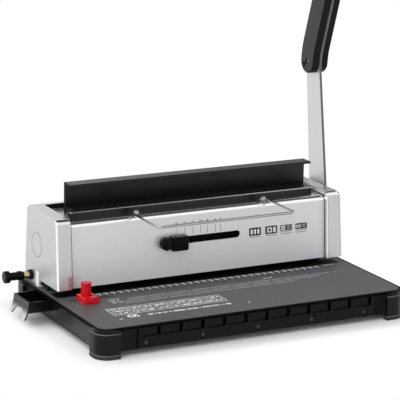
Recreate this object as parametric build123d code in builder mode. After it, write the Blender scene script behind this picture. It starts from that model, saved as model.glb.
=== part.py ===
from build123d import *
import os
from math import atan, cos, degrees, pi, radians, sin, tan

# Wire binding machine for A4 sheets: a punch and a wire closer on one handle.
# Millimetres, +X along the row of holes, +Y away from the user, +Z up.
# Places along X are written from the middle of the base, through level, station and facing.

# Base
base_length = 369.0
base_depth = 223.0
base_corner = 14.5
foot_height = 5.0
foot_length = 27.2
foot_flare = 0.8
foot_lip = 3.6
foot_inset = 2.2
skirt_lift = 2.0
table_height = 33.0
plate_thickness = 2.0
plate_border = 2.5
plate_drop = 0.4
tray_wall = 5.5
front_wall = 9.5
wall_inset = 3.8
rim_band = 2.6
post_length = 24.0
pan_thickness = 1.2

# Front fascia with its row of pockets and its screws
fascia_margin = 41.5
fascia_length = base_length - 2 * fascia_margin
fascia_x = 2.8
fascia_thickness = 3.6
fascia_foot = 2.0
pocket_count = 11
pocket_side_margin = 2.5
pocket_pitch = (fascia_length - 2 * pocket_side_margin) / pocket_count
pocket_width = 23.0
pocket_height = 9.8
pocket_depth = 2.4
pocket_slot_width = 2.6
pocket_top_drop = 0.8
strip_screw_count = 5
strip_screw_share = 0.23
strip_screw_pitch = fascia_length * strip_screw_share
strip_screw_height = 12.0

# Body: front panel, deck, rear cover and two end caps
throat_height = 8.0
body_bottom = table_height + throat_height
body_inset = 8.5
body_length = base_length - 2 * body_inset
body_x = -2.5
left_cap_width = 16.5
right_cap_width = 19.5
sheet = 2.0
panel_foot_y = 12.0
panel_top_y = 17.0
panel_bend = 6.0
deck_height = 112.0
panel_shelf_y = 34.0
deck_back_y = 81.0
rim_step = 6.0
rim_height = deck_height + rim_step
rim_y = 92.0
rear_foot_y = 98.0
rear_bend = 8.0
cap_proud = 4.7
cap_step = 5.5
cap_throat_y = 54.0
cap_height = deck_height + cap_step
cap_lean = 5.2
cap_bend = 6.0
cap_edge = 2.5
slit_length = 17.0
slit_width = 1.8
slit_depth = 1.4
frame_sheet = 3.0
frame_front_y = 21.0
frame_foot_y = 50.0
frame_back_gap = 3.5

# Handle shaft and its pull
shaft_y = 64.0
shaft_depth = 33.0
shaft_z = deck_height - shaft_depth
shaft_diameter = 12.0
plug_radius = 13.3
handle_swing = 80.0
half_swing = handle_swing / 2
arm_gap = 1.0
arm_thickness = 3.0
arm_hub_radius = 19.0
arm_lean = 7.5
arm_foot_width = 36.0
arm_top_width = 28.5
arm_length = 161.0
grip_lean = -18.2
bend_radius = 82.0
grip_start_run = 15.5
grip_straight = 73.0
grip_width = 28.0
grip_thickness = 8.5
grip_edge = 1.5
grip_tang_margin = 3.0

# Places along the body
body_left = body_x - body_length / 2
body_right = body_x + body_length / 2
panel_left = body_left + left_cap_width
panel_right = body_right - right_cap_width
panel_length = panel_right - panel_left
panel_x = (panel_left + panel_right) / 2

# Hole pattern: three square holes to the inch, as many as the panel has room for
inch = 25.4
hole_pitch = inch / 3
hole_side = 4.0
hole_end_room = 16.0
hole_count = int((panel_length - 2 * hole_end_room) / hole_pitch) + 1
hole_row_shift = 2.0
hole_row_x = panel_x + hole_row_shift
hole_row_length = hole_pitch * (hole_count - 1)

# Wire closer
jaw_end_room = 8.25
jaw_length = panel_length - 2 * jaw_end_room
jaw_shift = 6.75
jaw_x = panel_x + jaw_shift
jaw_web_trim = 1.5
jaw_web_length = jaw_length - jaw_web_trim
jaw_lift = 33.5
jaw_top = deck_height + jaw_lift
jaw_back_y = 63.8
jaw_depth = 17.3
jaw_web = 5.0
jaw_flange = 2.5
jaw_web_drop = 1.5
jaw_web_bottom = deck_height - jaw_web_drop
jaw_travel = 18.8
anvil_end_room = 8.0
anvil_length = panel_length - 2 * anvil_end_room
anvil_shift = 1.0
anvil_x = panel_x + anvil_shift
anvil_front_y = 33.0
anvil_depth = 24.5
anvil_height = 7.3
anvil_chamfer = 1.0
anvil_corner = 1.5
anvil_step_length = 6.0
anvil_step_depth = 6.5
crank_pin = 6.0
crank_radius = jaw_travel / (2 * sin(radians(half_swing)))
crank_web = 5.0
fork_sheet = 6.0
fork_limb = 5.0
fork_share = 0.3731
fork_station = panel_length * fork_share
pin_clearance = 0.4

# Punch unit
punch_y = 34.0
punch_side = 4.0
punch_tip_z = 42.6
die_thickness = 3.5
die_width = 12.0
die_flange = 4.0
die_clearance = 0.2
guide_bottom = 42.0
guide_height = 10.0
bar_width = 12.0
bar_height = 11.0
retainer_height = 4.0
gear_module = 1.5
punch_teeth = 12
pitch_radius = gear_module * punch_teeth / 2
punch_stroke = pitch_radius * radians(handle_swing)
carriage_gap = 1.4
carriage_bottom = guide_bottom + guide_height + retainer_height + punch_stroke + carriage_gap
punch_gear_width = 8.0
punch_gear_share = 0.2913
punch_gear_station = panel_length * punch_gear_share
rack_width = 7.0
rack_below = 9.0
rack_above = 21.0
rack_bottom = min(carriage_bottom, shaft_z - rack_below)
rack_top = shaft_z + rack_above
tooth_gap = 0.25
pressure_angle = 20.0
spring_wire = 1.0
spring_diameter = 8.0
spring_turns = 5
spring_end_room = 7.3
spring_station = hole_row_length / 2 + spring_end_room
carriage_end_room = 5.0
carriage_length = 2 * (spring_station + carriage_end_room)
spring_pocket = 8.0
post_diameter = 4.0
post_height = 12.0

# Selector for the closing travel
slot_length = 89.0
slot_x = 0.5
slot_height = 8.0
slot_drop = 32.5
slot_z = deck_height - slot_drop
slider_length = 20.0
slider_height = 16.5
slider_depth = 9.0
slider_x = -33.5
slider_drop = 0.8
slider_gap = 0.4
slider_neck = 10.0
slider_plate = 1.6
ridge_count = 5
ridge_pitch = 3.4
ridge_width = 1.6
ridge_depth = 1.1
lock_diameter = 14.7
lock_depth = 6.5
lock_x = -49.3
selector_travel = 70.0
stop_bar_length = 88.0
stop_bar_depth = 8.0
stop_bar_drop = 1.3
stop_bar_height = 12.2
stop_bar_top = slot_z - stop_bar_drop
stop_bar_bottom = stop_bar_top - stop_bar_height
stop_step_count = 7
stop_step_rise = 1.0
finger_x = 24.0

# Wire bail
bail_wire = 2.8
bail_x = -3.0
bail_width = 166.0
bail_reach = 65.0
bail_bend = 6.0
bail_pivot_y = 20.5
bail_pivot_rise = 2.6
lug_width = 5.0
lug_depth = 6.0

# Chip drawer, shown pulled partly out
drawer_front_y = 18.6
drawer_width = 41.2
drawer_top = 29.0
drawer_height = 12.0
drawer_wall = 1.6
drawer_end_room = 39.0
drawer_length = base_length - drawer_end_room
drawer_out = 22.5
drawer_gap = 0.8
pull_height = 19.0
pull_flare = 6.0
pull_sheet = 2.0
pull_arch_width = 27.0
pull_arch_rise = 9.7
rail_sheet = 1.3
rail_flange = 5.0
rail_gap = 0.3

# Paper side stop
stop_margin = 31.5
stop_x = stop_margin - base_length / 2
stop_width = 18.0
stop_front_y = -24.6
stop_depth = 22.0
stop_height = 7.0
stop_slot_y = -4.5
stop_slot_length = 48.8
stop_slot_width = 3.4
stop_slot_shift = 7.5
stop_slot_x = stop_x + stop_slot_shift
tongue_length = 12.0
stop_knob_diameter = 11.2
stop_knob_height = 13.0
stop_knob_ribs = 14
rib_depth = 0.7
stop_knob_y = -9.0
keeper_thickness = 1.5

# Margin adjuster
margin_y = 77.0
margin_z = 42.0
margin_axle = 5.0
margin_throw = 2.0
margin_disc = 11.0
margin_share = 0.316
margin_station = panel_length * margin_share
margin_knob_diameter = 13.5
margin_barrel_diameter = 9.0
margin_collar_diameter = 10.5
margin_knob_length = 22.75
margin_spacer_diameter = 8.4
margin_spacer_length = 6.3
margin_flange_diameter = 11.0
margin_flange_thickness = 4.0
margin_middle = 3.0
back_stop_y = punch_y + punch_side / 2 + margin_middle
back_stop_depth = 4.0
back_stop_height = 6.0
back_stop_arm = 5.0
tab_width = 8.0
tab_share = 0.5
tab_height = (shaft_z - plug_radius - table_height) * tab_share
tab_thickness = 1.5
tab_y = 59.0
tab_foot_height = 2.0
runner_width = 6.0

# Fasteners and clearances
running = 0.05
clearance = 0.3
screw_head = 5.6
screw_shank = 3.0
screw_head_height = 1.6
rear_screw_count = 4
overrun = 1.0

# Places that follow from the sizes above
arm_x = body_right + arm_gap
pull_tip = base_length / 2 + drawer_out + pull_flare
left_reach = pull_tip
right_reach = arm_x + arm_thickness + grip_thickness
base_x = (left_reach - right_reach) / 2
tray_top = table_height - plate_drop
ledge_z = table_height - plate_thickness
skirt_z = foot_height + skirt_lift
cap_foot_z = table_height + clearance


def level(height):
    """Horizontal plane at a height, with its origin over the middle of the base."""
    return Plane(origin=(base_x, 0, height))


def station(x):
    """Plane across the machine at x, drawn in Y and Z, with its normal along +X."""
    return Plane(origin=(base_x + x, 0, 0), x_dir=(0, 1, 0), z_dir=(1, 0, 0))


def facing(y):
    """Upright plane at a depth y, drawn in X and Z, with its normal towards the user."""
    return Plane(origin=(base_x, y, 0), x_dir=(1, 0, 0), z_dir=(0, -1, 0))


def panel_face(height):
    """Depth of the front panel's outer face at a height."""
    rise_share = (height - body_bottom) / (deck_height - body_bottom)
    return panel_foot_y + (panel_top_y - panel_foot_y) * rise_share


def rear_face(height):
    """Depth of the rear cover's outer face at a height."""
    rise_share = (height - body_bottom) / (rim_height - body_bottom)
    return rear_foot_y + (rim_y - rear_foot_y) * rise_share


# Base frame: moulded tray with corner posts, a thicker front wall and the drawer's mouth
with BuildPart() as base_frame:
    with BuildSketch(level(foot_height)):
        RectangleRounded(base_length, base_depth, base_corner)
    extrude(amount=tray_top - foot_height)
    hollow_depth = base_depth - front_wall - tray_wall
    with BuildSketch(level(foot_height)):
        with Locations((0, (front_wall - tray_wall) / 2)):
            RectangleRounded(base_length - 2 * tray_wall, hollow_depth, base_corner - tray_wall)
    extrude(amount=tray_top - foot_height, mode=Mode.SUBTRACT)
    with BuildSketch(level(ledge_z)):
        RectangleRounded(base_length - 2 * plate_border, base_depth - 2 * plate_border,
                         base_corner - plate_border)
    extrude(amount=plate_thickness, mode=Mode.SUBTRACT)
    inset_height = tray_top - rim_band - foot_height
    inset_middle = foot_height + inset_height / 2
    for side in (-1, 1):
        with BuildSketch(facing(side * base_depth / 2)):
            with Locations((0, inset_middle)):
                Rectangle(base_length - 2 * post_length, inset_height)
        extrude(amount=side * wall_inset, mode=Mode.SUBTRACT)
        with BuildSketch(station(side * base_length / 2)):
            with Locations((0, inset_middle)):
                Rectangle(base_depth - 2 * post_length, inset_height)
        extrude(amount=-side * wall_inset, mode=Mode.SUBTRACT)
    with BuildSketch(facing(wall_inset - base_depth / 2)):
        with Locations((fascia_x, inset_middle)):
            Rectangle(fascia_length + clearance, inset_height)
    extrude(amount=-fascia_thickness, mode=Mode.SUBTRACT)
    with BuildSketch(level(foot_height)):
        Rectangle(base_length - 2 * post_length, base_depth + overrun)
        Rectangle(base_length + overrun, base_depth - 2 * post_length)
    extrude(amount=skirt_lift, mode=Mode.SUBTRACT)
    mouth_width = drawer_width + 2 * drawer_gap
    with BuildSketch(station(-base_length / 2)):
        with Locations((drawer_front_y + drawer_width / 2, drawer_top - drawer_height / 2)):
            Rectangle(mouth_width, drawer_height + 2 * drawer_gap)
    extrude(amount=tray_wall + overrun, mode=Mode.SUBTRACT)

# Base plate: the steel paper table, with the stop's slot and the window for the die
with BuildPart() as base_plate:
    with BuildSketch(level(ledge_z)):
        RectangleRounded(base_length - 2 * (plate_border + clearance),
                         base_depth - 2 * (plate_border + clearance),
                         base_corner - plate_border - clearance)
        with Locations((hole_row_x, punch_y)):
            Rectangle(hole_row_length + 3 * hole_side + 2 * die_clearance,
                      die_width + 2 * die_clearance, mode=Mode.SUBTRACT)
        with Locations((stop_slot_x, stop_slot_y)):
            SlotOverall(stop_slot_length, stop_slot_width, mode=Mode.SUBTRACT)
    extrude(amount=plate_thickness)

# Rubber feet: a sole under each corner post, a pad for the pan and a flared lip round the post
with BuildPart() as rubber_feet:
    with BuildSketch(level(0)):
        RectangleRounded(base_length - 2 * foot_inset, base_depth - 2 * foot_inset,
                         base_corner - foot_inset)
        Rectangle(base_length - 2 * foot_length, base_depth, mode=Mode.SUBTRACT)
        Rectangle(base_length, base_depth - 2 * foot_length, mode=Mode.SUBTRACT)
    extrude(amount=foot_height)
    with BuildSketch(level(foot_height)):
        with Locations((0, (front_wall - tray_wall) / 2)):
            RectangleRounded(base_length - 2 * (tray_wall + clearance),
                             hollow_depth - 2 * clearance, base_corner - tray_wall - clearance)
        Rectangle(base_length - 2 * foot_length, base_depth, mode=Mode.SUBTRACT)
        Rectangle(base_length, base_depth - 2 * foot_length, mode=Mode.SUBTRACT)
    extrude(amount=skirt_lift)
    with BuildSketch(level(foot_height)):
        RectangleRounded(base_length + 2 * foot_flare, base_depth + 2 * foot_flare,
                         base_corner + foot_flare)
        RectangleRounded(base_length, base_depth, base_corner, mode=Mode.SUBTRACT)
        Rectangle(base_length - 2 * post_length, base_depth + overrun * 4, mode=Mode.SUBTRACT)
        Rectangle(base_length + overrun * 4, base_depth - 2 * post_length, mode=Mode.SUBTRACT)
        with GridLocations(base_length - post_length - foot_length,
                           base_depth + foot_flare - wall_inset, 2, 2):
            Rectangle(foot_length - post_length, wall_inset + foot_flare)
        with GridLocations(base_length + foot_flare - wall_inset,
                           base_depth - post_length - foot_length, 2, 2):
            Rectangle(wall_inset + foot_flare, foot_length - post_length)
    extrude(amount=foot_lip)

# Bottom pan: the sheet that closes the tray from below, on the feet's pads
with BuildPart() as bottom_pan:
    with BuildSketch(level(skirt_z)):
        with Locations((0, (front_wall - tray_wall) / 2)):
            RectangleRounded(base_length - 2 * (tray_wall + clearance),
                             hollow_depth - 2 * clearance, base_corner - tray_wall - clearance)
    extrude(amount=pan_thickness)

# Front fascia: a moulded strip with a row of pockets above its screws, each with a slot
fascia_bottom = foot_height + fascia_foot
fascia_height = tray_top - rim_band - fascia_bottom - clearance
with BuildPart() as front_fascia:
    with BuildSketch(facing(wall_inset + fascia_thickness - base_depth / 2)):
        with Locations((fascia_x, fascia_bottom + fascia_height / 2)):
            Rectangle(fascia_length, fascia_height)
    extrude(amount=fascia_thickness)
    pocket_z = fascia_bottom + fascia_height - pocket_top_drop - pocket_height / 2
    with BuildSketch(facing(wall_inset - base_depth / 2)):
        with Locations((fascia_x, pocket_z)):
            with GridLocations(pocket_pitch, 0, pocket_count, 1):
                Rectangle(pocket_width, pocket_height)
    extrude(amount=-pocket_depth, mode=Mode.SUBTRACT)
    with BuildSketch(facing(wall_inset - base_depth / 2)):
        with Locations((fascia_x + (pocket_width - pocket_slot_width) / 2, pocket_z)):
            with GridLocations(pocket_pitch, 0, pocket_count, 1):
                Rectangle(pocket_slot_width, pocket_height)
    extrude(amount=-fascia_thickness, mode=Mode.SUBTRACT)
    with BuildSketch(facing(wall_inset - base_depth / 2)):
        with Locations((fascia_x, strip_screw_height)):
            with GridLocations(strip_screw_pitch, 0, strip_screw_count, 1):
                Circle(screw_head / 2 + clearance)
    extrude(amount=-screw_head_height, mode=Mode.SUBTRACT)

# Fascia screws, with pan heads sunk in the fascia
with BuildPart() as fascia_screws:
    with BuildSketch(facing(wall_inset + screw_head_height - base_depth / 2)):
        with Locations((fascia_x, strip_screw_height)):
            with GridLocations(strip_screw_pitch, 0, strip_screw_count, 1):
                Circle(screw_head / 2)
    extrude(amount=screw_head_height * 0.8)

# Die plate: one square hole for each punch, hung in the table's window
with BuildPart() as die_plate:
    die_length = hole_row_length + 3 * hole_side
    with BuildSketch(level(table_height - die_thickness)):
        with Locations((hole_row_x, punch_y)):
            Rectangle(die_length, die_width)
    extrude(amount=die_thickness)
    with BuildSketch(level(table_height - die_thickness)):
        with Locations((hole_row_x, punch_y)):
            Rectangle(die_length + 2 * die_flange, die_width + 2 * die_flange)
    extrude(amount=die_thickness - plate_thickness)
    with BuildSketch(level(table_height)):
        with Locations((hole_row_x, punch_y)):
            with GridLocations(hole_pitch, 0, hole_count, 1):
                Rectangle(hole_side + 2 * die_clearance, hole_side + 2 * die_clearance)
    extrude(amount=-die_thickness, mode=Mode.SUBTRACT)

# Side frames: C-shaped plates that leave the paper throat open at both ends
frame_top = deck_height - sheet
with BuildPart() as side_frames:
    for frame_x in (panel_left - frame_sheet, panel_right):
        with BuildSketch(station(frame_x)):
            with BuildLine():
                Polyline(
                    (frame_front_y, guide_bottom),
                    (frame_foot_y, guide_bottom),
                    (frame_foot_y, table_height),
                    (rear_face(body_bottom) - sheet - frame_back_gap, table_height),
                    (rear_face(frame_top) - sheet - frame_back_gap, frame_top),
                    (frame_front_y, frame_top),
                    close=True,
                )
            make_face()
            with Locations((shaft_y, shaft_z)):
                Circle(shaft_diameter / 2 + sheet, mode=Mode.SUBTRACT)
            with Locations((margin_y, margin_z)):
                Circle(margin_axle / 2 + running, mode=Mode.SUBTRACT)
        extrude(amount=frame_sheet)

# Shaft bushes: flanged bronze bearings in the side frames
with BuildPart() as shaft_bushes:
    for frame_x, outward in ((panel_left, -1), (panel_right, 1)):
        with BuildSketch(station(frame_x)):
            with Locations((shaft_y, shaft_z)):
                Circle(shaft_diameter / 2 + sheet - running)
                Circle(shaft_diameter / 2 + running, mode=Mode.SUBTRACT)
        extrude(amount=outward * frame_sheet)
        with BuildSketch(station(frame_x)):
            with Locations((shaft_y, shaft_z)):
                Circle(shaft_diameter / 2 + 2 * sheet)
                Circle(shaft_diameter / 2 + running, mode=Mode.SUBTRACT)
        extrude(amount=-outward * sheet)

# Front panel: bent sheet with the selector's slot and a shelf for the anvil
with BuildPart() as front_panel:
    with BuildSketch(station(panel_left)):
        with BuildLine():
            Polyline(
                (panel_foot_y, body_bottom),
                (panel_top_y, deck_height),
                (panel_shelf_y, deck_height),
                (panel_shelf_y, deck_height - sheet),
                (panel_top_y + sheet, deck_height - sheet),
                (panel_foot_y + sheet, body_bottom),
                close=True,
            )
        make_face()
    extrude(amount=panel_length)
    bend_edges = front_panel.edges().filter_by(Axis.X)
    outer_bend = bend_edges.sort_by_distance((base_x, panel_top_y, deck_height))[0]
    fillet(outer_bend, radius=panel_bend)
    inner_corner = (base_x, panel_top_y + sheet, deck_height - sheet)
    inner_bend = front_panel.edges().filter_by(Axis.X).sort_by_distance(inner_corner)[0]
    fillet(inner_bend, radius=panel_bend - sheet)
    with BuildSketch(facing(0)):
        with Locations((slot_x, slot_z)):
            SlotOverall(slot_length, slot_height)
    extrude(amount=-(panel_top_y + sheet + overrun), mode=Mode.SUBTRACT)

# Deck plate: the top behind the shelf, slotted for the moving jaw and its two forks
web_slot_front = jaw_back_y - jaw_web - clearance
web_slot_back = jaw_back_y + clearance
tab_depth = 3.2
fork_slot_back = jaw_back_y + tab_depth + screw_head_height + clearance
with BuildPart() as deck_plate:
    deck_front_y = panel_shelf_y + clearance
    with BuildSketch(level(deck_height - sheet)):
        with Locations((panel_x, (deck_front_y + deck_back_y) / 2)):
            Rectangle(panel_length, deck_back_y - deck_front_y)
        with Locations((jaw_x, (web_slot_front + web_slot_back) / 2)):
            Rectangle(jaw_length + 2 * clearance, web_slot_back - web_slot_front,
                      mode=Mode.SUBTRACT)
        for place in (hole_row_x - fork_station, hole_row_x + fork_station, finger_x):
            with Locations((place, (web_slot_front + fork_slot_back) / 2)):
                Rectangle(fork_sheet + 4 * clearance, fork_slot_back - web_slot_front,
                          mode=Mode.SUBTRACT)
    extrude(amount=sheet)

# Recess trim: the dark strip on the step between the deck and the rear rim
with BuildPart() as recess_trim:
    with BuildSketch(station(panel_left)):
        with Locations((deck_back_y - sheet / 4, (deck_height + rim_height) / 2)):
            Rectangle(sheet / 2, rim_height - deck_height - sheet / 2)
    extrude(amount=panel_length)

# Rear cover: bent sheet with the raised rear rim
with BuildPart() as rear_cover:
    with BuildSketch(station(panel_left)):
        with BuildLine():
            Polyline(
                (rear_face(cap_foot_z), cap_foot_z),
                (rim_y, rim_height),
                (deck_back_y, rim_height),
                (deck_back_y, deck_height - sheet),
                (deck_back_y + sheet, deck_height - sheet),
                (deck_back_y + sheet, rim_height - sheet),
                (rear_face(rim_height - sheet) - sheet, rim_height - sheet),
                (rear_face(cap_foot_z) - sheet, cap_foot_z),
                close=True,
            )
        make_face()
    extrude(amount=panel_length)
    rim_corner = (base_x, rim_y, rim_height)
    rim_bend = rear_cover.edges().filter_by(Axis.X).sort_by_distance(rim_corner)[0]
    fillet(rim_bend, radius=rear_bend * 0.5)


def cap_front(height):
    """Depth of an end cap's outer front at a height."""
    rise_share = (height - body_bottom) / (cap_height - body_bottom)
    return panel_foot_y - cap_proud + cap_lean * rise_share


def cap_outline(inset):
    """Outline of an end cap in Y and Z; drawn inside the wall it has no throat notch."""
    top_z = cap_height - inset
    front_z = table_height if inset else body_bottom
    back_z = table_height if inset else cap_foot_z
    with BuildLine() as outline:
        FilletPolyline(
            (cap_front(front_z) + inset, front_z),
            (cap_front(top_z) + inset, top_z),
            (rear_face(top_z) - inset, top_z),
            (rear_face(back_z) - inset, back_z),
            radius=cap_bend - inset,
        )
        start = outline.wires()[0] @ 0
        end = outline.wires()[0] @ 1
        if inset:
            Line(end, start)
        else:
            Polyline(end, (cap_throat_y, back_z), (cap_throat_y, front_z), start)
    return outline


# Left end cap: hollow moulding with a return flange, a plug hole and a notch for the tab's foot
with BuildPart() as left_cap:
    with BuildSketch(station(panel_left)):
        add(cap_outline(0))
        make_face()
    extrude(amount=-left_cap_width)
    outer_rim = left_cap.faces().sort_by(Axis.X)[0].edges()
    fillet(outer_rim.filter_by(lambda edge: edge.center().Z > body_bottom + overrun),
           radius=cap_edge)
    for inset, cut_x, depth in ((cap_proud - running, panel_left, sheet),
                                (sheet, panel_left - sheet, left_cap_width - 2 * sheet)):
        with BuildSketch(station(cut_x)):
            add(cap_outline(inset))
            make_face()
        extrude(amount=-depth, mode=Mode.SUBTRACT)
    with BuildSketch(station(body_left)):
        with Locations((shaft_y, shaft_z)):
            Circle(plug_radius + clearance)
        with Locations((margin_y, margin_z)):
            Circle(margin_axle / 2 + 2 * clearance)
        with Locations((tab_y, table_height)):
            Rectangle(tab_width + 2 * margin_throw, 2 * (tab_foot_height + 3 * clearance))
    extrude(amount=sheet + overrun, mode=Mode.SUBTRACT)

# Right end cap: hollow moulding with the shaft's hole and a slit at its inner top edge
with BuildPart() as right_cap:
    with BuildSketch(station(panel_right)):
        add(cap_outline(0))
        make_face()
    extrude(amount=right_cap_width)
    outer_rim = right_cap.faces().sort_by(Axis.X)[-1].edges()
    fillet(outer_rim.filter_by(lambda edge: edge.center().Z > body_bottom + overrun),
           radius=cap_edge)
    for inset, cut_x, depth in ((cap_proud - running, panel_right, sheet),
                                (sheet, panel_right + sheet, right_cap_width - 2 * sheet)):
        with BuildSketch(station(cut_x)):
            add(cap_outline(inset))
            make_face()
        extrude(amount=depth, mode=Mode.SUBTRACT)
    with BuildSketch(station(body_right)):
        with Locations((shaft_y, shaft_z)):
            Circle(shaft_diameter / 2 + 2 * clearance)
    extrude(amount=-(sheet + overrun), mode=Mode.SUBTRACT)
    with BuildSketch(level(cap_height)):
        with Locations((panel_right + slit_width * 0.75, panel_shelf_y)):
            SlotOverall(slit_length, slit_width, rotation=90)
    extrude(amount=-slit_depth, mode=Mode.SUBTRACT)

# Cap plug: the disc over the unused end of the shaft
with BuildPart() as cap_plug:
    with BuildSketch(station(body_left)):
        with Locations((shaft_y, shaft_z)):
            Circle(plug_radius)
    extrude(amount=sheet)

# Handle shaft
shaft_left = body_left + sheet + overrun
with BuildPart() as handle_shaft:
    with BuildSketch(station(shaft_left)):
        with Locations((shaft_y, shaft_z)):
            Circle(shaft_diameter / 2)
    extrude(amount=arm_x + arm_thickness - shaft_left)
    chamfer(handle_shaft.faces().sort_by(Axis.X)[0].edges(), length=overrun / 2)

# Handle arm: flat steel lever with a soft bend forward inside the grip
arm_foot = Vector(shaft_y, shaft_z)
arm_dir = Vector(sin(radians(arm_lean)), cos(radians(arm_lean)))
grip_dir = Vector(sin(radians(grip_lean)), cos(radians(grip_lean)))
bend_start = arm_foot + arm_dir * arm_length
bend_centre = bend_start + Vector(-arm_dir.Y, arm_dir.X) * bend_radius
bend_end = bend_centre + Vector(grip_dir.Y, -grip_dir.X) * bend_radius


def beside(point, direction, distance):
    """Point at a distance to the left of a direction, as seen along the shaft."""
    return (point.X - direction.Y * distance, point.Y + direction.X * distance)


def bend_point(lean):
    """Point of the handle's bend where its middle line has a lean."""
    return bend_centre + Vector(cos(radians(lean)), -sin(radians(lean))) * bend_radius


def handle_band(first_lean, straight, width):
    """Band with round ends along the bend and the straight above it, in the active sketch."""
    with BuildLine() as path:
        ThreePointArc(bend_point(first_lean), bend_point((first_lean + grip_lean) / 2), bend_end)
        Line(bend_end, bend_end + grip_dir * straight)
    SlotArc(path.wires()[0], width)


with BuildPart() as handle_arm:
    with BuildSketch(station(arm_x)):
        with BuildLine():
            Polyline(
                beside(arm_foot, arm_dir, arm_foot_width / 2),
                beside(bend_start, arm_dir, arm_top_width / 2),
                beside(bend_start, arm_dir, -arm_top_width / 2),
                beside(arm_foot, arm_dir, -arm_foot_width / 2),
                close=True,
            )
        make_face()
        handle_band(arm_lean, grip_straight - grip_tang_margin, arm_top_width - clearance)
        with Locations((arm_foot.X, arm_foot.Y)):
            Circle(arm_hub_radius)
            Circle(shaft_diameter / 2 + running, mode=Mode.SUBTRACT)
    extrude(amount=arm_thickness)

# Hub bolt and washer that hold the arm on the shaft
with BuildPart() as hub_bolt:
    hub_face = arm_x + arm_thickness
    with BuildSketch(station(hub_face)):
        with Locations((shaft_y, shaft_z)):
            Circle(shaft_diameter)
    extrude(amount=sheet)
    with BuildSketch(station(hub_face + sheet)):
        with Locations((shaft_y, shaft_z)):
            RegularPolygon(shaft_diameter * 0.6, 6)
    extrude(amount=2 * sheet)

# Grip scales: two moulded halves screwed on either side of the tang
grip_first_lean = arm_lean - degrees(grip_start_run / bend_radius)

with BuildPart() as grip_left:
    with BuildSketch(station(arm_x)):
        handle_band(grip_first_lean, grip_straight, grip_width)
    extrude(amount=-grip_thickness)
    fillet(grip_left.faces().sort_by(Axis.X)[0].edges(), radius=grip_edge)

with BuildPart() as grip_right:
    with BuildSketch(station(arm_x + arm_thickness)):
        handle_band(grip_first_lean, grip_straight, grip_width)
    extrude(amount=grip_thickness)
    fillet(grip_right.faces().sort_by(Axis.X)[-1].edges(), radius=grip_edge)

# Grip screws: sunk heads on both scales
grip_screw_points = [bend_point(grip_first_lean), bend_end + grip_dir * grip_straight]

for grip, outer_x, inward in ((grip_left, arm_x - grip_thickness, 1),
                              (grip_right, arm_x + arm_thickness + grip_thickness, -1)):
    with grip:
        with BuildSketch(station(outer_x)):
            with Locations(*[(point.X, point.Y) for point in grip_screw_points]):
                Circle(screw_head / 2 + clearance)
        extrude(amount=inward * 2 * screw_head_height, mode=Mode.SUBTRACT)

with BuildPart() as grip_screws:
    for outer_x, inward in ((arm_x - grip_thickness, 1),
                            (arm_x + arm_thickness + grip_thickness, -1)):
        with BuildSketch(station(outer_x + inward * screw_head_height)):
            with Locations(*[(point.X, point.Y) for point in grip_screw_points]):
                Circle(screw_head / 2)
        extrude(amount=inward * screw_head_height)

# Upper jaw: L-section bar that presses the wire, flange forward at the top
with BuildPart() as upper_jaw:
    with BuildSketch(station(jaw_x - jaw_length / 2)):
        with Locations((jaw_back_y - jaw_depth / 2, jaw_top - jaw_flange / 2)):
            Rectangle(jaw_depth, jaw_flange)
    extrude(amount=jaw_length)
    with BuildSketch(station(jaw_x - jaw_length / 2)):
        with Locations((jaw_back_y - jaw_web / 2, (jaw_top + jaw_web_bottom) / 2)):
            Rectangle(jaw_web, jaw_top - jaw_web_bottom)
    extrude(amount=jaw_web_length)
    front_edge = (base_x, jaw_back_y - jaw_depth, jaw_top)
    nose = upper_jaw.edges().filter_by(Axis.X).sort_by_distance(front_edge)[0]
    chamfer(nose, length=jaw_flange * 0.3)

# Crank pin at rest, above the forward direction by half the handle's swing
pin_rest_y = shaft_y - crank_radius * cos(radians(half_swing))
pin_rest_z = shaft_z + crank_radius * sin(radians(half_swing))
fork_top = deck_height - sheet - 2 * clearance
fork_front_y = punch_y + bar_width / 2 + overrun
fork_slot_front = shaft_y - crank_radius - crank_pin / 2 - pin_clearance
fork_slot_half = crank_pin / 2 + pin_clearance
fork_tip_y = shaft_y - shaft_diameter / 2 - clearance
jog_bottom = fork_top - fork_limb
tab_top = jaw_top - jaw_flange - 2 * fork_limb


def hanger(limb_back, foot_z):
    """Outline of a hanger from the jaw's back, over the shaft and down in front of it."""
    return [
        (limb_back, jog_bottom),
        (jaw_back_y + tab_depth, jog_bottom),
        (jaw_back_y + tab_depth, tab_top),
        (jaw_back_y, tab_top),
        (jaw_back_y, fork_top),
        (limb_back - fork_limb, fork_top),
        (limb_back - fork_limb, foot_z),
        (limb_back, foot_z),
    ]


# Jaw forks: hangers whose open slots ride on the crank pins
with BuildPart() as jaw_forks:
    for place in (hole_row_x - fork_station, hole_row_x + fork_station):
        with BuildSketch(station(place - fork_sheet / 2)):
            with BuildLine():
                Polyline(*hanger(fork_slot_front, pin_rest_z), close=True)
            make_face()
            fork_middle_y = (fork_slot_front - fork_limb + fork_tip_y) / 2
            with Locations((fork_middle_y, pin_rest_z)):
                Rectangle(fork_tip_y - fork_slot_front + fork_limb,
                          2 * (fork_slot_half + fork_limb))
            with Locations(((fork_slot_front + fork_tip_y + overrun) / 2, pin_rest_z)):
                Rectangle(fork_tip_y + overrun - fork_slot_front, 2 * fork_slot_half,
                          mode=Mode.SUBTRACT)
        extrude(amount=fork_sheet)

# Stop finger: a third hanger that comes down over the selector's stepped bar
keeper_front = panel_face(stop_bar_top) + sheet + overrun
finger_y = keeper_front + stop_bar_depth + overrun
finger_foot = stop_bar_top + jaw_travel + 3 * clearance
with BuildPart() as stop_finger:
    with BuildSketch(station(finger_x - fork_sheet / 2)):
        with BuildLine():
            Polyline(*hanger(finger_y, finger_foot), close=True)
        make_face()
    extrude(amount=fork_sheet)

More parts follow.
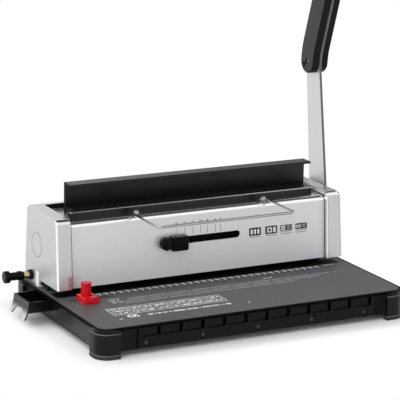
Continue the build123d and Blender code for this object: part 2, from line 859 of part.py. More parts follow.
# Jaw screws, from behind through the hangers' tabs
with BuildPart() as jaw_screws:
    screw_heights = (tab_top - screw_shank, tab_top - 4 * screw_shank)
    with BuildSketch(facing(jaw_back_y + tab_depth)):
        for place in (hole_row_x - fork_station, hole_row_x + fork_station, finger_x):
            with Locations(*[(place, height) for height in screw_heights]):
                Circle(screw_head / 2)
    extrude(amount=-screw_head_height)

# Anvil: the fixed lower bar under the wire, with a groove beside each loop
with BuildPart() as anvil_bar:
    with BuildSketch(station(anvil_x - anvil_length / 2)):
        with Locations((anvil_front_y + anvil_depth / 2, deck_height + anvil_height / 2)):
            Rectangle(anvil_depth, anvil_height)
    extrude(amount=anvil_length)
    end_edges = anvil_bar.edges().filter_by(Axis.Y).group_by(Axis.Z)[-1]
    fillet(end_edges, radius=anvil_corner)
    long_edges = anvil_bar.edges().filter_by(Axis.X)
    lip = long_edges.sort_by_distance((base_x, anvil_front_y, deck_height + anvil_height))[0]
    chamfer(lip, length=anvil_chamfer)
    with BuildSketch(level(deck_height)):
        with Locations((anvil_x - anvil_length / 2, anvil_front_y + anvil_depth)):
            Rectangle(2 * anvil_step_length, 2 * (anvil_depth - anvil_step_depth))
    extrude(amount=anvil_height, mode=Mode.SUBTRACT)
    groove_width = hole_pitch - hole_side
    with BuildSketch(facing(anvil_front_y + anvil_depth)):
        with Locations((hole_row_x, deck_height + anvil_height)):
            with GridLocations(hole_pitch, 0, hole_count, 1):
                Rectangle(groove_width / 2, anvil_chamfer * 2)
    extrude(amount=anvil_depth / 3, mode=Mode.SUBTRACT)

# Jaw cranks: webs clamped on the shaft, each with a pin in its fork's slot
with BuildPart() as jaw_cranks:
    for place, outward in ((hole_row_x - fork_station, 1), (hole_row_x + fork_station, -1)):
        web_x = place + outward * (fork_sheet / 2 + 2 * clearance)
        with BuildSketch(station(web_x)):
            with BuildLine():
                hub = CenterArc((shaft_y, shaft_z), shaft_diameter / 2 + fork_limb, 0, 360)
            make_face()
            with BuildLine():
                hub_radius = shaft_diameter / 2 + fork_limb
                lean = radians(half_swing)
                across = Vector(sin(lean), cos(lean))
                hub_centre = Vector(shaft_y, shaft_z)
                pin_centre = Vector(pin_rest_y, pin_rest_z)
                corners = [hub_centre + across * crank_pin, pin_centre + across * crank_pin * 0.8,
                           pin_centre - across * crank_pin * 0.8, hub_centre - across * crank_pin]
                Polyline(*[(corner.X, corner.Y) for corner in corners], close=True)
            make_face()
            with Locations((pin_rest_y, pin_rest_z)):
                Circle(crank_pin * 0.8)
            with Locations((shaft_y, shaft_z)):
                Circle(shaft_diameter / 2 + running, mode=Mode.SUBTRACT)
        extrude(amount=outward * crank_web)
        with BuildSketch(station(web_x)):
            with Locations((pin_rest_y, pin_rest_z)):
                Circle(crank_pin / 2)
        extrude(amount=-outward * (fork_sheet + 4 * clearance))

# Punch gears: involute pinions on the shaft that drive the carriage's racks
outer_radius = pitch_radius + gear_module
root_radius = pitch_radius - 1.25 * gear_module
base_radius = pitch_radius * cos(radians(pressure_angle))
flank_steps = 3


def involute_point(radius, half_angle, side, turn):
    """Point in Y and Z of one flank of a tooth turned about the shaft, in radians."""
    reach = max(radius, base_radius)
    roll = (reach ** 2 / base_radius ** 2 - 1) ** 0.5
    pitch_roll = (pitch_radius ** 2 / base_radius ** 2 - 1) ** 0.5
    opening = (roll - atan(roll)) - (pitch_roll - atan(pitch_roll))
    angle = turn + side * (half_angle - opening)
    return (shaft_y + radius * cos(angle), shaft_z + radius * sin(angle))


tooth_half_angle = (pi * gear_module / 2 - tooth_gap) / (2 * pitch_radius)
flank_radii = [root_radius + (outer_radius - root_radius) * step / flank_steps
               for step in range(flank_steps + 1)]
rack_pitch_y = shaft_y - pitch_radius
rack_root_y = rack_pitch_y - 1.25 * gear_module
rack_tip_y = rack_pitch_y + gear_module
tooth_pitch = pi * gear_module
# A tooth space of the pinion faces the racks at rest, so a rack tooth stands level with the shaft
pinion_turn = 180 + 180 / punch_teeth

gear_outline = []
for number in range(punch_teeth):
    turn = radians(pinion_turn + 360 * number / punch_teeth)
    for flank_radius in flank_radii:
        gear_outline.append(involute_point(flank_radius, tooth_half_angle, -1, turn))
    for flank_radius in reversed(flank_radii):
        gear_outline.append(involute_point(flank_radius, tooth_half_angle, 1, turn))

with BuildPart() as punch_gears:
    for place in (hole_row_x - punch_gear_station, hole_row_x + punch_gear_station):
        with BuildSketch(station(place - punch_gear_width / 2)):
            with BuildLine():
                Polyline(*gear_outline, close=True)
            make_face()
            with Locations((shaft_y, shaft_z)):
                Circle(shaft_diameter / 2 + running, mode=Mode.SUBTRACT)
        extrude(amount=punch_gear_width)

# Punch racks: toothed uprights behind the carriage
with BuildPart() as punch_racks:
    carriage_back_y = punch_y + bar_width / 2
    tooth_count = int((rack_top - rack_bottom) / tooth_pitch)
    slope = tan(radians(pressure_angle))
    half_pitch_width = (tooth_pitch / 2 - tooth_gap) / 2
    first_tooth = -int((shaft_z - rack_bottom) / tooth_pitch)
    for place in (hole_row_x - punch_gear_station, hole_row_x + punch_gear_station):
        with BuildSketch(station(place - rack_width / 2)):
            with Locations(((carriage_back_y + rack_root_y) / 2, (rack_bottom + rack_top) / 2)):
                Rectangle(rack_root_y - carriage_back_y, rack_top - rack_bottom)
            for number in range(first_tooth, first_tooth + tooth_count):
                tooth_z = shaft_z + number * tooth_pitch
                root_half = half_pitch_width + (rack_pitch_y - rack_root_y) * slope
                tip_half = half_pitch_width - (rack_tip_y - rack_pitch_y) * slope
                with BuildLine():
                    Polyline(
                        (rack_root_y - running, tooth_z - root_half),
                        (rack_root_y, tooth_z - root_half),
                        (rack_tip_y, tooth_z - tip_half),
                        (rack_tip_y, tooth_z + tip_half),
                        (rack_root_y, tooth_z + root_half),
                        (rack_root_y - running, tooth_z + root_half),
                        close=True,
                    )
                make_face()
        extrude(amount=rack_width)

# Punch carriage: the bar that drives every punch, with pockets for its springs
with BuildPart() as punch_carriage:
    with BuildSketch(level(carriage_bottom)):
        with Locations((hole_row_x, punch_y)):
            Rectangle(carriage_length, bar_width)
    extrude(amount=bar_height)
    with BuildSketch(level(carriage_bottom)):
        with Locations((hole_row_x - spring_station, punch_y),
                       (hole_row_x + spring_station, punch_y)):
            Circle(spring_diameter / 2 + clearance)
    extrude(amount=spring_pocket, mode=Mode.SUBTRACT)

# Pin retainer: the bar under the carriage that keeps the punches upright
with BuildPart() as pin_retainer:
    with BuildSketch(level(carriage_bottom)):
        with Locations((hole_row_x, punch_y)):
            Rectangle(hole_row_length + punch_side + 2 * overrun, bar_width - 2 * overrun)
            with GridLocations(hole_pitch, 0, hole_count, 1):
                Rectangle(punch_side + 2 * running, punch_side + 2 * running,
                          mode=Mode.SUBTRACT)
    extrude(amount=-retainer_height)

# Punch pins: square punches, one for each hole
with BuildPart() as punch_pins:
    with BuildSketch(level(punch_tip_z)):
        with Locations((hole_row_x, punch_y)):
            with GridLocations(hole_pitch, 0, hole_count, 1):
                Rectangle(punch_side, punch_side)
    extrude(amount=carriage_bottom - punch_tip_z)

# Punch guide: the stripper bar above the throat
with BuildPart() as punch_guide:
    with BuildSketch(level(guide_bottom)):
        with Locations((panel_x, punch_y)):
            Rectangle(panel_length, bar_width)
        with Locations((hole_row_x, punch_y)):
            with GridLocations(hole_pitch, 0, hole_count, 1):
                Rectangle(punch_side + 2 * die_clearance, punch_side + 2 * die_clearance,
                          mode=Mode.SUBTRACT)
            with GridLocations(2 * spring_station, 0, 2, 1):
                Circle(post_diameter / 2 + running, mode=Mode.SUBTRACT)
    extrude(amount=guide_height)

# Spring posts: pins in the guide that keep the return springs upright
guide_top = guide_bottom + guide_height
with BuildPart() as spring_posts:
    with BuildSketch(level(guide_bottom)):
        with Locations((hole_row_x, punch_y)):
            with GridLocations(2 * spring_station, 0, 2, 1):
                Circle(post_diameter / 2)
    extrude(amount=guide_height + post_height)

# Return springs: compression coils between the guide and the carriage
spring_length = carriage_bottom + spring_pocket - guide_top - 2 * clearance
spring_pitch = (spring_length - spring_wire) / spring_turns
coil_radius = (spring_diameter - spring_wire) / 2
with BuildPart() as return_springs:
    for place in (hole_row_x - spring_station, hole_row_x + spring_station):
        coil_foot = (base_x + place, punch_y, guide_top + clearance + spring_wire / 2)
        with BuildLine(Plane(origin=coil_foot)):
            coil = Helix(spring_pitch, spring_length - spring_wire, coil_radius)
        with BuildSketch(Plane(origin=coil @ 0, z_dir=coil % 0)):
            RegularPolygon(spring_wire / 2, 6)
        sweep(path=coil, is_frenet=True)

# Bail lugs on the shelf of the front panel
bail_pivot_z = deck_height + bail_pivot_rise
lug_offset = bail_width / 2 - bail_wire / 2 - clearance - lug_width / 2
with BuildPart() as bail_lugs:
    for side in (-1, 1):
        with BuildSketch(station(bail_x + side * lug_offset - lug_width / 2)):
            with Locations((bail_pivot_y, deck_height + lug_depth / 2)):
                SlotOverall(lug_depth + overrun, lug_depth, rotation=90)
            with Locations((bail_pivot_y, deck_height - lug_depth / 2)):
                Rectangle(2 * lug_depth, lug_depth, mode=Mode.SUBTRACT)
            with Locations((bail_pivot_y, bail_pivot_z)):
                Circle(bail_wire / 2 + running, mode=Mode.SUBTRACT)
        extrude(amount=lug_width)

# Wire bail: chromed book rest that folds up about its two ends
bail_left = base_x + bail_x - bail_width / 2
bail_right = base_x + bail_x + bail_width / 2
bail_tail = lug_width + clearance + bail_wire
with BuildPart() as wire_bail:
    with BuildLine() as bail_path:
        FilletPolyline(
            (bail_left + bail_tail, bail_pivot_y, bail_pivot_z),
            (bail_left, bail_pivot_y, bail_pivot_z),
            (bail_left, bail_pivot_y - bail_reach, bail_pivot_z),
            (bail_right, bail_pivot_y - bail_reach, bail_pivot_z),
            (bail_right, bail_pivot_y, bail_pivot_z),
            (bail_right - bail_tail, bail_pivot_y, bail_pivot_z),
            radius=[bail_wire * 0.6, bail_bend, bail_bend, bail_wire * 0.6],
        )
    with BuildSketch(Plane(origin=bail_path.line @ 0, z_dir=bail_path.line % 0)):
        Circle(bail_wire / 2)
    sweep(path=bail_path.line)

# Selector slider: ridged thumb block in front of the panel, neck through the slot
slider_back = panel_face(slot_z - slider_height / 2) - slider_gap
slider_front = slider_back - slider_depth
with BuildPart() as selector_slider:
    with BuildSketch(facing(slider_back)):
        with Locations((slider_x, slot_z - slider_drop)):
            RectangleRounded(slider_length, slider_height, ridge_width)
    extrude(amount=slider_depth)
    front_rim = selector_slider.faces().sort_by(Axis.Y)[0].edges()
    chamfer(front_rim, length=ridge_depth)
    with BuildSketch(facing(slider_front)):
        with Locations((slider_x, slot_z - slider_drop)):
            with GridLocations(ridge_pitch, 0, ridge_count, 1):
                Rectangle(ridge_pitch - ridge_width, slider_height)
    extrude(amount=-ridge_depth, mode=Mode.SUBTRACT)
    with BuildSketch(facing(slider_back)):
        with Locations((lock_x, slot_z)):
            Circle(lock_diameter / 2 + clearance)
    extrude(amount=slider_depth, mode=Mode.SUBTRACT)
    with BuildSketch(facing(slider_back)):
        with Locations(((lock_x + slider_x) / 2, slot_z)):
            SlotOverall(slider_x - lock_x + slider_height * 0.7, slider_height * 0.7)
    extrude(amount=slider_plate)
    with BuildSketch(facing(keeper_front)):
        with Locations((slider_x, slot_z)):
            Rectangle(slider_neck, slot_height - 2 * clearance)
    extrude(amount=keeper_front - slider_back)

# Selector lock: ribbed round knob that clamps the slider
with BuildPart() as selector_lock:
    lock_back = slider_back - slider_plate - clearance
    with BuildSketch(facing(lock_back)):
        with Locations((lock_x, slot_z)):
            Circle(lock_diameter / 2)
            with PolarLocations(lock_diameter / 2, 2 * ridge_count):
                Circle(ridge_depth, mode=Mode.SUBTRACT)
    extrude(amount=lock_depth)
    chamfer(selector_lock.faces().sort_by(Axis.Y)[0].edges(), length=ridge_depth / 2)

# Closing stop: stepped bar behind the panel, moved by the slider under the jaw's finger
with BuildPart() as closing_stop:
    bar_right = finger_x + fork_sheet
    bar_left = bar_right - stop_bar_length
    step_length = stop_bar_length / stop_step_count
    with BuildSketch(facing(keeper_front + stop_bar_depth)):
        for number in range(stop_step_count):
            step_height = stop_bar_top - stop_bar_bottom - number * stop_step_rise
            step_x = bar_right - (stop_step_count - number - 0.5) * step_length
            with Locations((step_x, stop_bar_bottom + step_height / 2)):
                Rectangle(step_length, step_height)
        keeper_height = slot_z + slot_height / 2 - stop_bar_bottom
        with Locations((slider_x, stop_bar_bottom + keeper_height / 2)):
            Rectangle(slider_neck + 2 * sheet, keeper_height)
    extrude(amount=stop_bar_depth)

# Chip drawer: long open tray with a flared pull
drawer_left = -base_length / 2 - drawer_out
pull_top_x = drawer_left
with BuildPart() as chip_drawer:
    drawer_middle_y = drawer_front_y + drawer_width / 2
    with BuildSketch(level(drawer_top - drawer_height)):
        with Locations((drawer_left + drawer_length / 2, drawer_middle_y)):
            Rectangle(drawer_length, drawer_width)
    extrude(amount=drawer_height)
    with BuildSketch(level(drawer_top)):
        with Locations((drawer_left + drawer_length / 2, drawer_middle_y)):
            Rectangle(drawer_length - 2 * drawer_wall, drawer_width - 2 * drawer_wall)
    extrude(amount=drawer_wall - drawer_height, mode=Mode.SUBTRACT)
    with BuildSketch(facing(drawer_front_y)):
        with BuildLine():
            Spline((pull_top_x, drawer_top),
                   (pull_top_x - pull_flare * 0.25, drawer_top - pull_height / 2),
                   (pull_top_x - pull_flare, drawer_top - pull_height))
            Line((pull_top_x - pull_flare, drawer_top - pull_height),
                 (pull_top_x - pull_flare + pull_sheet, drawer_top - pull_height))
            Spline((pull_top_x - pull_flare + pull_sheet, drawer_top - pull_height),
                   (pull_top_x - pull_flare * 0.25 + pull_sheet, drawer_top - pull_height / 2),
                   (pull_top_x + pull_sheet, drawer_top))
            Line((pull_top_x + pull_sheet, drawer_top), (pull_top_x, drawer_top))
        make_face()
    extrude(amount=-drawer_width)
    with BuildSketch(station(pull_top_x)):
        with Locations((drawer_middle_y, drawer_top - pull_height)):
            Ellipse(pull_arch_width / 2, pull_arch_rise)
    extrude(amount=-2 * pull_flare, mode=Mode.SUBTRACT)

# Drawer rails: two angles under the table that carry the drawer
with BuildPart() as drawer_rails:
    rail_left = -base_length / 2 + tray_wall + clearance
    rail_length = base_length - 2 * (tray_wall + clearance)
    for side in (-1, 1):
        wall_y = drawer_middle_y + side * (drawer_width / 2 + rail_gap + rail_sheet / 2)
        flange_y = drawer_middle_y + side * (drawer_width / 2 + rail_gap + rail_sheet
                                             - rail_flange / 2)
        rail_bottom = drawer_top - drawer_height - rail_gap - rail_sheet
        with BuildSketch(station(rail_left)):
            with Locations((wall_y, (rail_bottom + ledge_z) / 2)):
                Rectangle(rail_sheet, ledge_z - rail_bottom)
            with Locations((flange_y, rail_bottom + rail_sheet / 2)):
                Rectangle(rail_flange, rail_sheet)
        extrude(amount=rail_length)

# Paper stop: red block that locates the sheet's edge, with a tongue in the table's slot
with BuildPart() as paper_stop:
    stop_middle_y = stop_front_y + stop_depth / 2
    with BuildSketch(level(table_height + running)):
        with Locations((stop_x, stop_middle_y)):
            RectangleRounded(stop_width, stop_depth, rib_depth * 2)
    extrude(amount=stop_height - running, taper=4)
    chamfer(paper_stop.faces().sort_by(Axis.Z)[-1].edges(), length=rib_depth)
    with BuildSketch(level(table_height + running)):
        with Locations((stop_x, stop_slot_y)):
            Rectangle(tongue_length, stop_slot_width - 2 * clearance)
    extrude(amount=-(plate_thickness + 2 * running))
    with BuildSketch(level(table_height + stop_height)):
        with Locations((stop_x, stop_knob_y)):
            Circle(screw_shank / 2 + running)
    extrude(amount=-stop_height, mode=Mode.SUBTRACT)

# Stop keeper: plate under the table that holds the stop down
with BuildPart() as stop_keeper:
    with BuildSketch(level(ledge_z - running)):
        with Locations((stop_x, stop_slot_y)):
            RectangleRounded(stop_width, tongue_length, rib_depth)
    extrude(amount=-keeper_thickness)

# Stop knob: ribbed thumb screw in the paper stop
with BuildPart() as stop_knob:
    with BuildSketch(level(table_height + stop_height + running)):
        with Locations((stop_x, stop_knob_y)):
            Circle(stop_knob_diameter / 2)
            with PolarLocations(stop_knob_diameter / 2, stop_knob_ribs):
                Circle(rib_depth, mode=Mode.SUBTRACT)
    extrude(amount=stop_knob_height)
    with BuildSketch(level(table_height + stop_height + running)):
        with Locations((stop_x, stop_knob_y)):
            Circle(screw_shank / 2)
    extrude(amount=-(stop_height - clearance))

# Margin axle with its two eccentric discs, under the handle shaft
axle_left = body_left - margin_flange_thickness - margin_spacer_length - margin_knob_length / 2
with BuildPart() as margin_axle_rod:
    with BuildSketch(station(axle_left)):
        with Locations((margin_y, margin_z)):
            Circle(margin_axle / 2)
    extrude(amount=panel_right + frame_sheet + overrun - axle_left)
    for side in (-1, 1):
        with BuildSketch(station(hole_row_x + side * margin_station - back_stop_arm / 2)):
            with Locations((margin_y, margin_z - margin_throw)):
                Circle(margin_disc / 2)
        extrude(amount=back_stop_arm)

# Margin bearing flange on the cap
with BuildPart() as margin_flange:
    with BuildSketch(station(body_left)):
        with Locations((margin_y, margin_z)):
            Circle(margin_flange_diameter / 2)
            Circle(margin_axle / 2 + running, mode=Mode.SUBTRACT)
    extrude(amount=-margin_flange_thickness)

# Margin spacer: brass collar between the flange and the knob
spacer_right = body_left - margin_flange_thickness - running
with BuildPart() as margin_spacer:
    with BuildSketch(station(spacer_right)):
        with Locations((margin_y, margin_z)):
            RegularPolygon(margin_spacer_diameter / 2, 6)
            Circle(margin_axle / 2 + running, mode=Mode.SUBTRACT)
    extrude(amount=-margin_spacer_length)

# Margin knob: turned knob with two flanges and a cone towards the machine
knob_right = spacer_right - margin_spacer_length
with BuildPart() as margin_knob:
    cone = margin_knob_length * 0.16
    inner_flange = margin_knob_length * 0.12
    outer_flange = margin_knob_length * 0.25
    bore_depth = knob_right - axle_left + running
    with BuildSketch(Plane(origin=(base_x + knob_right, margin_y, margin_z),
                           x_dir=(-1, 0, 0), z_dir=(0, 1, 0))):
        with BuildLine():
            Polyline(
                (0, margin_axle / 2 + running),
                (0, margin_spacer_diameter / 2),
                (cone, margin_collar_diameter / 2),
                (cone + inner_flange, margin_collar_diameter / 2),
                (cone + inner_flange, margin_barrel_diameter / 2),
                (margin_knob_length - outer_flange, margin_barrel_diameter / 2),
                (margin_knob_length - outer_flange, margin_knob_diameter / 2),
                (margin_knob_length - overrun, margin_knob_diameter / 2),
                (margin_knob_length, margin_knob_diameter / 2 - overrun),
                (margin_knob_length, 0),
                (bore_depth, 0),
                (bore_depth, margin_axle / 2 + running),
                close=True,
            )
        make_face()
    revolve(axis=Axis((base_x + knob_right, margin_y, margin_z), (-1, 0, 0)))

# Back stop: the bar that the sheets' edges meet, moved by the eccentrics
with BuildPart() as back_stop:
    stop_left = body_left + sheet + clearance
    stop_right = panel_right - clearance
    stop_bottom = table_height + clearance
    with BuildSketch(level(stop_bottom)):
        with Locations(((stop_left + stop_right) / 2, back_stop_y + back_stop_depth / 2)):
            Rectangle(stop_right - stop_left, back_stop_depth)
    extrude(amount=back_stop_height)
    runner_back = tab_y + tab_width / 2
    runner_bottom = stop_bottom + tab_foot_height + running
    with BuildSketch(level(runner_bottom)):
        with Locations((stop_left + runner_width / 2, (back_stop_y + runner_back) / 2)):
            Rectangle(runner_width, runner_back - back_stop_y)
    extrude(amount=stop_bottom + back_stop_height - runner_bottom)
    arm_top = margin_z + margin_disc / 2 + sheet
    arm_back = margin_y + margin_disc / 2 + margin_throw + sheet
    for side in (-1, 1):
        with BuildSketch(station(hole_row_x + side * margin_station - back_stop_arm / 2)):
            with Locations(((back_stop_y + arm_back) / 2, (stop_bottom + arm_top) / 2)):
                Rectangle(arm_back - back_stop_y, arm_top - stop_bottom)
            with Locations(((back_stop_y + margin_y - margin_disc) / 2, arm_top)):
                Rectangle(margin_y - margin_disc - back_stop_y,
                          2 * (arm_top - stop_bottom - back_stop_height), mode=Mode.SUBTRACT)
            disc_room = margin_disc + 2 * clearance
            with Locations((margin_y, margin_z - margin_throw * 0.8)):
                SlotOverall(disc_room + margin_throw * 0.4, disc_room, rotation=90,
                            mode=Mode.SUBTRACT)
        extrude(amount=back_stop_arm)

# Margin tab: white nylon pointer outside the left cap, its foot under the back stop's runner
with BuildPart() as margin_tab:
    tab_left = body_left - clearance - tab_thickness
    with BuildSketch(station(tab_left)):
        with Locations((tab_y, stop_bottom + tab_height / 2)):
            Rectangle(tab_width, tab_height)
    extrude(amount=tab_thickness)
    with BuildSketch(level(stop_bottom)):
        with Locations(((tab_left + stop_left + runner_width) / 2, tab_y)):
            Rectangle(stop_left + runner_width - tab_left, tab_width)
    extrude(amount=tab_foot_height)

# Rear screws that hold the rear cover
with BuildPart() as rear_screws:
    rear_screw_z = body_bottom + 2 * screw_head
    with BuildSketch(facing(rear_face(rear_screw_z - screw_head / 2))):
        with Locations((panel_x, rear_screw_z)):
            with GridLocations(panel_length / rear_screw_count, 0, rear_screw_count, 1):
                Circle(screw_head / 2)
    extrude(amount=-screw_head_height)

parts = {
    "base_frame": base_frame,
    "base_plate": base_plate,
    "rubber_feet": rubber_feet,
    "bottom_pan": bottom_pan,
    "front_fascia": front_fascia,
    "fascia_screws": fascia_screws,
    "die_plate": die_plate,
    "side_frames": side_frames,
    "shaft_bushes": shaft_bushes,
    "front_panel": front_panel,
    "deck_plate": deck_plate,
    "recess_trim": recess_trim,
    "rear_cover": rear_cover,
    "left_cap": left_cap,
    "right_cap": right_cap,
    "cap_plug": cap_plug,
    "handle_shaft": handle_shaft,
    "handle_arm": handle_arm,
    "hub_bolt": hub_bolt,
    "grip_left": grip_left,
    "grip_right": grip_right,
    "grip_screws": grip_screws,
    "upper_jaw": upper_jaw,
    "jaw_forks": jaw_forks,
    "stop_finger": stop_finger,
    "jaw_screws": jaw_screws,
    "anvil_bar": anvil_bar,
    "jaw_cranks": jaw_cranks,
    "punch_gears": punch_gears,
    "punch_racks": punch_racks,
    "punch_carriage": punch_carriage,
    "pin_retainer": pin_retainer,
    "punch_pins": punch_pins,
    "punch_guide": punch_guide,
    "spring_posts": spring_posts,
    "return_springs": return_springs,
    "bail_lugs": bail_lugs,
    "wire_bail": wire_bail,
    "selector_slider": selector_slider,
    "selector_lock": selector_lock,
    "closing_stop": closing_stop,
    "chip_drawer": chip_drawer,
    "drawer_rails": drawer_rails,
    "paper_stop": paper_stop,
    "stop_keeper": stop_keeper,
    "stop_knob": stop_knob,
    "margin_axle_rod": margin_axle_rod,
    "margin_flange": margin_flange,
    "margin_spacer": margin_spacer,
    "margin_knob": margin_knob,
    "back_stop": back_stop,
    "margin_tab": margin_tab,
    "rear_screws": rear_screws,
}

os.makedirs("parts", exist_ok=True)
for name, piece in parts.items():
    piece.part.label = name
    export_step(piece.part, f"parts/{name}.step")
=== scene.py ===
"""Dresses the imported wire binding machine: finishes, prints, fasteners and studio.

Everything is in metres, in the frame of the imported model. Prints are laid out in millimetres.
"""

import logging
import math
import random
from contextlib import contextmanager
from dataclasses import dataclass, field
from enum import Enum
from typing import Callable, Iterable, Iterator, Sequence

import bmesh
import bpy
from mathutils import Matrix, Vector


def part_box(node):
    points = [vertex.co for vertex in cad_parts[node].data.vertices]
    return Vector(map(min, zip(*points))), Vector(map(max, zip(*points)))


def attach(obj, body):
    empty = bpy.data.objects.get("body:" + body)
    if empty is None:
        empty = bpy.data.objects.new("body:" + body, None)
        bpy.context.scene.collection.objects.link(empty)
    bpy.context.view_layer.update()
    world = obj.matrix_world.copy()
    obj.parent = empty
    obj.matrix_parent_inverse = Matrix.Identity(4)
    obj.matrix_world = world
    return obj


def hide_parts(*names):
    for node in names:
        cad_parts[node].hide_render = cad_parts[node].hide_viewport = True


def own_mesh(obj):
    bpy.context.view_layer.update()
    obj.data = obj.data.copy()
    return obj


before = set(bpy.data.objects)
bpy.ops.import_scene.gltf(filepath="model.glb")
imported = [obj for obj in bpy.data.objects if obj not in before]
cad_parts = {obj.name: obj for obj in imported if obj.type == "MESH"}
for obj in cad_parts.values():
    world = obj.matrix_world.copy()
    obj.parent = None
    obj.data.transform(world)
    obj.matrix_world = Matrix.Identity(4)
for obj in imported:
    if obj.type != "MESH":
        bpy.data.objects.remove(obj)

LOG = logging.getLogger("binder")
MM = 0.001
MERGE_GAP = 2e-6
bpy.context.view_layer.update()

Colour = tuple[float, float, float]
Point2 = tuple[float, float]
Bar = tuple[float, float, float, float]
Placer = Callable[[float, float, float], Vector]

TABLE_LOW, TABLE_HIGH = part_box("base_plate")
BASE_X = (TABLE_LOW[0] + TABLE_HIGH[0]) / 2
TABLE_Z = TABLE_HIGH[2]


class Value:
    """A value socket of a node tree, on which Python's operators add Math nodes."""

    def __init__(self, tree: "Tree", socket: bpy.types.NodeSocket) -> None:
        """Wraps one output socket of a tree."""
        self.tree = tree
        self.socket = socket

    def math(self, operation: str, *others: object) -> "Value":
        """Adds a Math node.

        Args:
            operation: the Math node's operation.
            others: further operands, numbers or Values.

        Returns:
            The node's output.
        """
        node = self.tree.add("ShaderNodeMath", {"operation": operation},
                             dict(enumerate((self, *others))))
        return Value(self.tree, node.outputs[0])

    def __add__(self, other: object) -> "Value":
        """Sum."""
        return self.math("ADD", other)

    __radd__ = __add__

    def __sub__(self, other: object) -> "Value":
        """Difference."""
        return self.math("SUBTRACT", other)

    def __rsub__(self, other: float) -> "Value":
        """Difference from a number."""
        return (self * -1.0) + other

    def __mul__(self, other: object) -> "Value":
        """Product."""
        return self.math("MULTIPLY", other)

    __rmul__ = __mul__

    def band(self, low: float, high: float) -> "Value":
        """Smooth step from 0 at low to 1 at high.

        Args:
            low: value at which the step starts.
            high: value at which the step ends.

        Returns:
            The stepped value.
        """
        node = self.tree.add("ShaderNodeMapRange", {"interpolation_type": "SMOOTHSTEP"},
                             {"Value": self, "From Min": low, "From Max": high})
        return Value(self.tree, node.outputs["Result"])


class Tree:
    """A node tree under construction, with one method that makes every node."""

    def __init__(self, tree: bpy.types.NodeTree) -> None:
        """Takes over an empty tree."""
        self.tree = tree

    @classmethod
    def of(cls, holder: bpy.types.Material | bpy.types.World) -> "Tree":
        """Opens the emptied tree of a material or a world.

        Args:
            holder: the material or world.

        Returns:
            Its tree.
        """
        holder.use_nodes = True
        holder.node_tree.nodes.clear()
        return cls(holder.node_tree)

    def add(self, kind: str, settings: dict[str, object] | None = None,
            inputs: dict[object, object] | None = None) -> bpy.types.Node:
        """Makes a node, sets its settings, then gives its sockets values or links.

        Args:
            kind: the node's type name.
            settings: attributes of the node, set first.
            inputs: socket name or number to a number, vector, Value or socket.

        Returns:
            The new node.
        """
        node = self.tree.nodes.new(kind)
        for name, setting in (settings or {}).items():
            setattr(node, name, setting)
        for key, given in (inputs or {}).items():
            socket = node.inputs[key]
            for one in given if isinstance(given, list) else [given]:
                if isinstance(one, Value):
                    self.tree.links.new(one.socket, socket)
                elif isinstance(one, bpy.types.NodeSocket):
                    self.tree.links.new(one, socket)
                else:
                    socket.default_value = one
        return node

    def coordinates(self, kind: str) -> bpy.types.NodeSocket:
        """Texture coordinates of a kind, such as Object."""
        return self.add("ShaderNodeTexCoord").outputs[kind]

    def axes(self, vector: bpy.types.NodeSocket) -> list[Value]:
        """The X, Y and Z of a vector."""
        parts = self.add("ShaderNodeSeparateXYZ", inputs={0: vector})
        return [Value(self, part) for part in parts.outputs]

    def noise(self, place: bpy.types.NodeSocket, **inputs: float) -> Value:
        """Noise over a surface.

        Args:
            place: where the noise is read.
            inputs: the texture's numbers, by the names of their sockets.

        Returns:
            The noise.
        """
        node = self.add("ShaderNodeTexNoise", {"noise_dimensions": "3D"},
                        {"Vector": place, **inputs})
        return Value(self, node.outputs["Fac"])

    def rays(self, *kinds: str) -> Value:
        """Marks rays by their kind.

        Args:
            kinds: Light Path's names of the kinds.

        Returns:
            1 for a ray of any of these kinds, otherwise 0.
        """
        path = self.add("ShaderNodeLightPath").outputs
        first, *others = (Value(self, path[f"Is {kind} Ray"]) for kind in kinds)
        for other in others:
            first = first.math("MAXIMUM", other)
        return first


class Grain(Enum):
    """Ways in which a finish's grain runs: scales of its noise along X, Y and Z."""

    EVEN = (1.0, 1.0, 1.0)
    UPRIGHT = (1.0, 1.0, 0.05)
    LONG_UPRIGHT = (1.0, 1.0, 0.03)
    ACROSS = (0.06, 1.0, 1.0)
    LONG_ACROSS = (0.05, 1.0, 1.0)


NOISE_MIDDLE = 0.5
FINE_NOISE = {"Detail": 3.0, "Roughness": 0.6}
BROAD_NOISE = {"Scale": 14.0, "Detail": 4.0, "Roughness": 0.55}
BUMP_DEPTH = 0.2 * MM


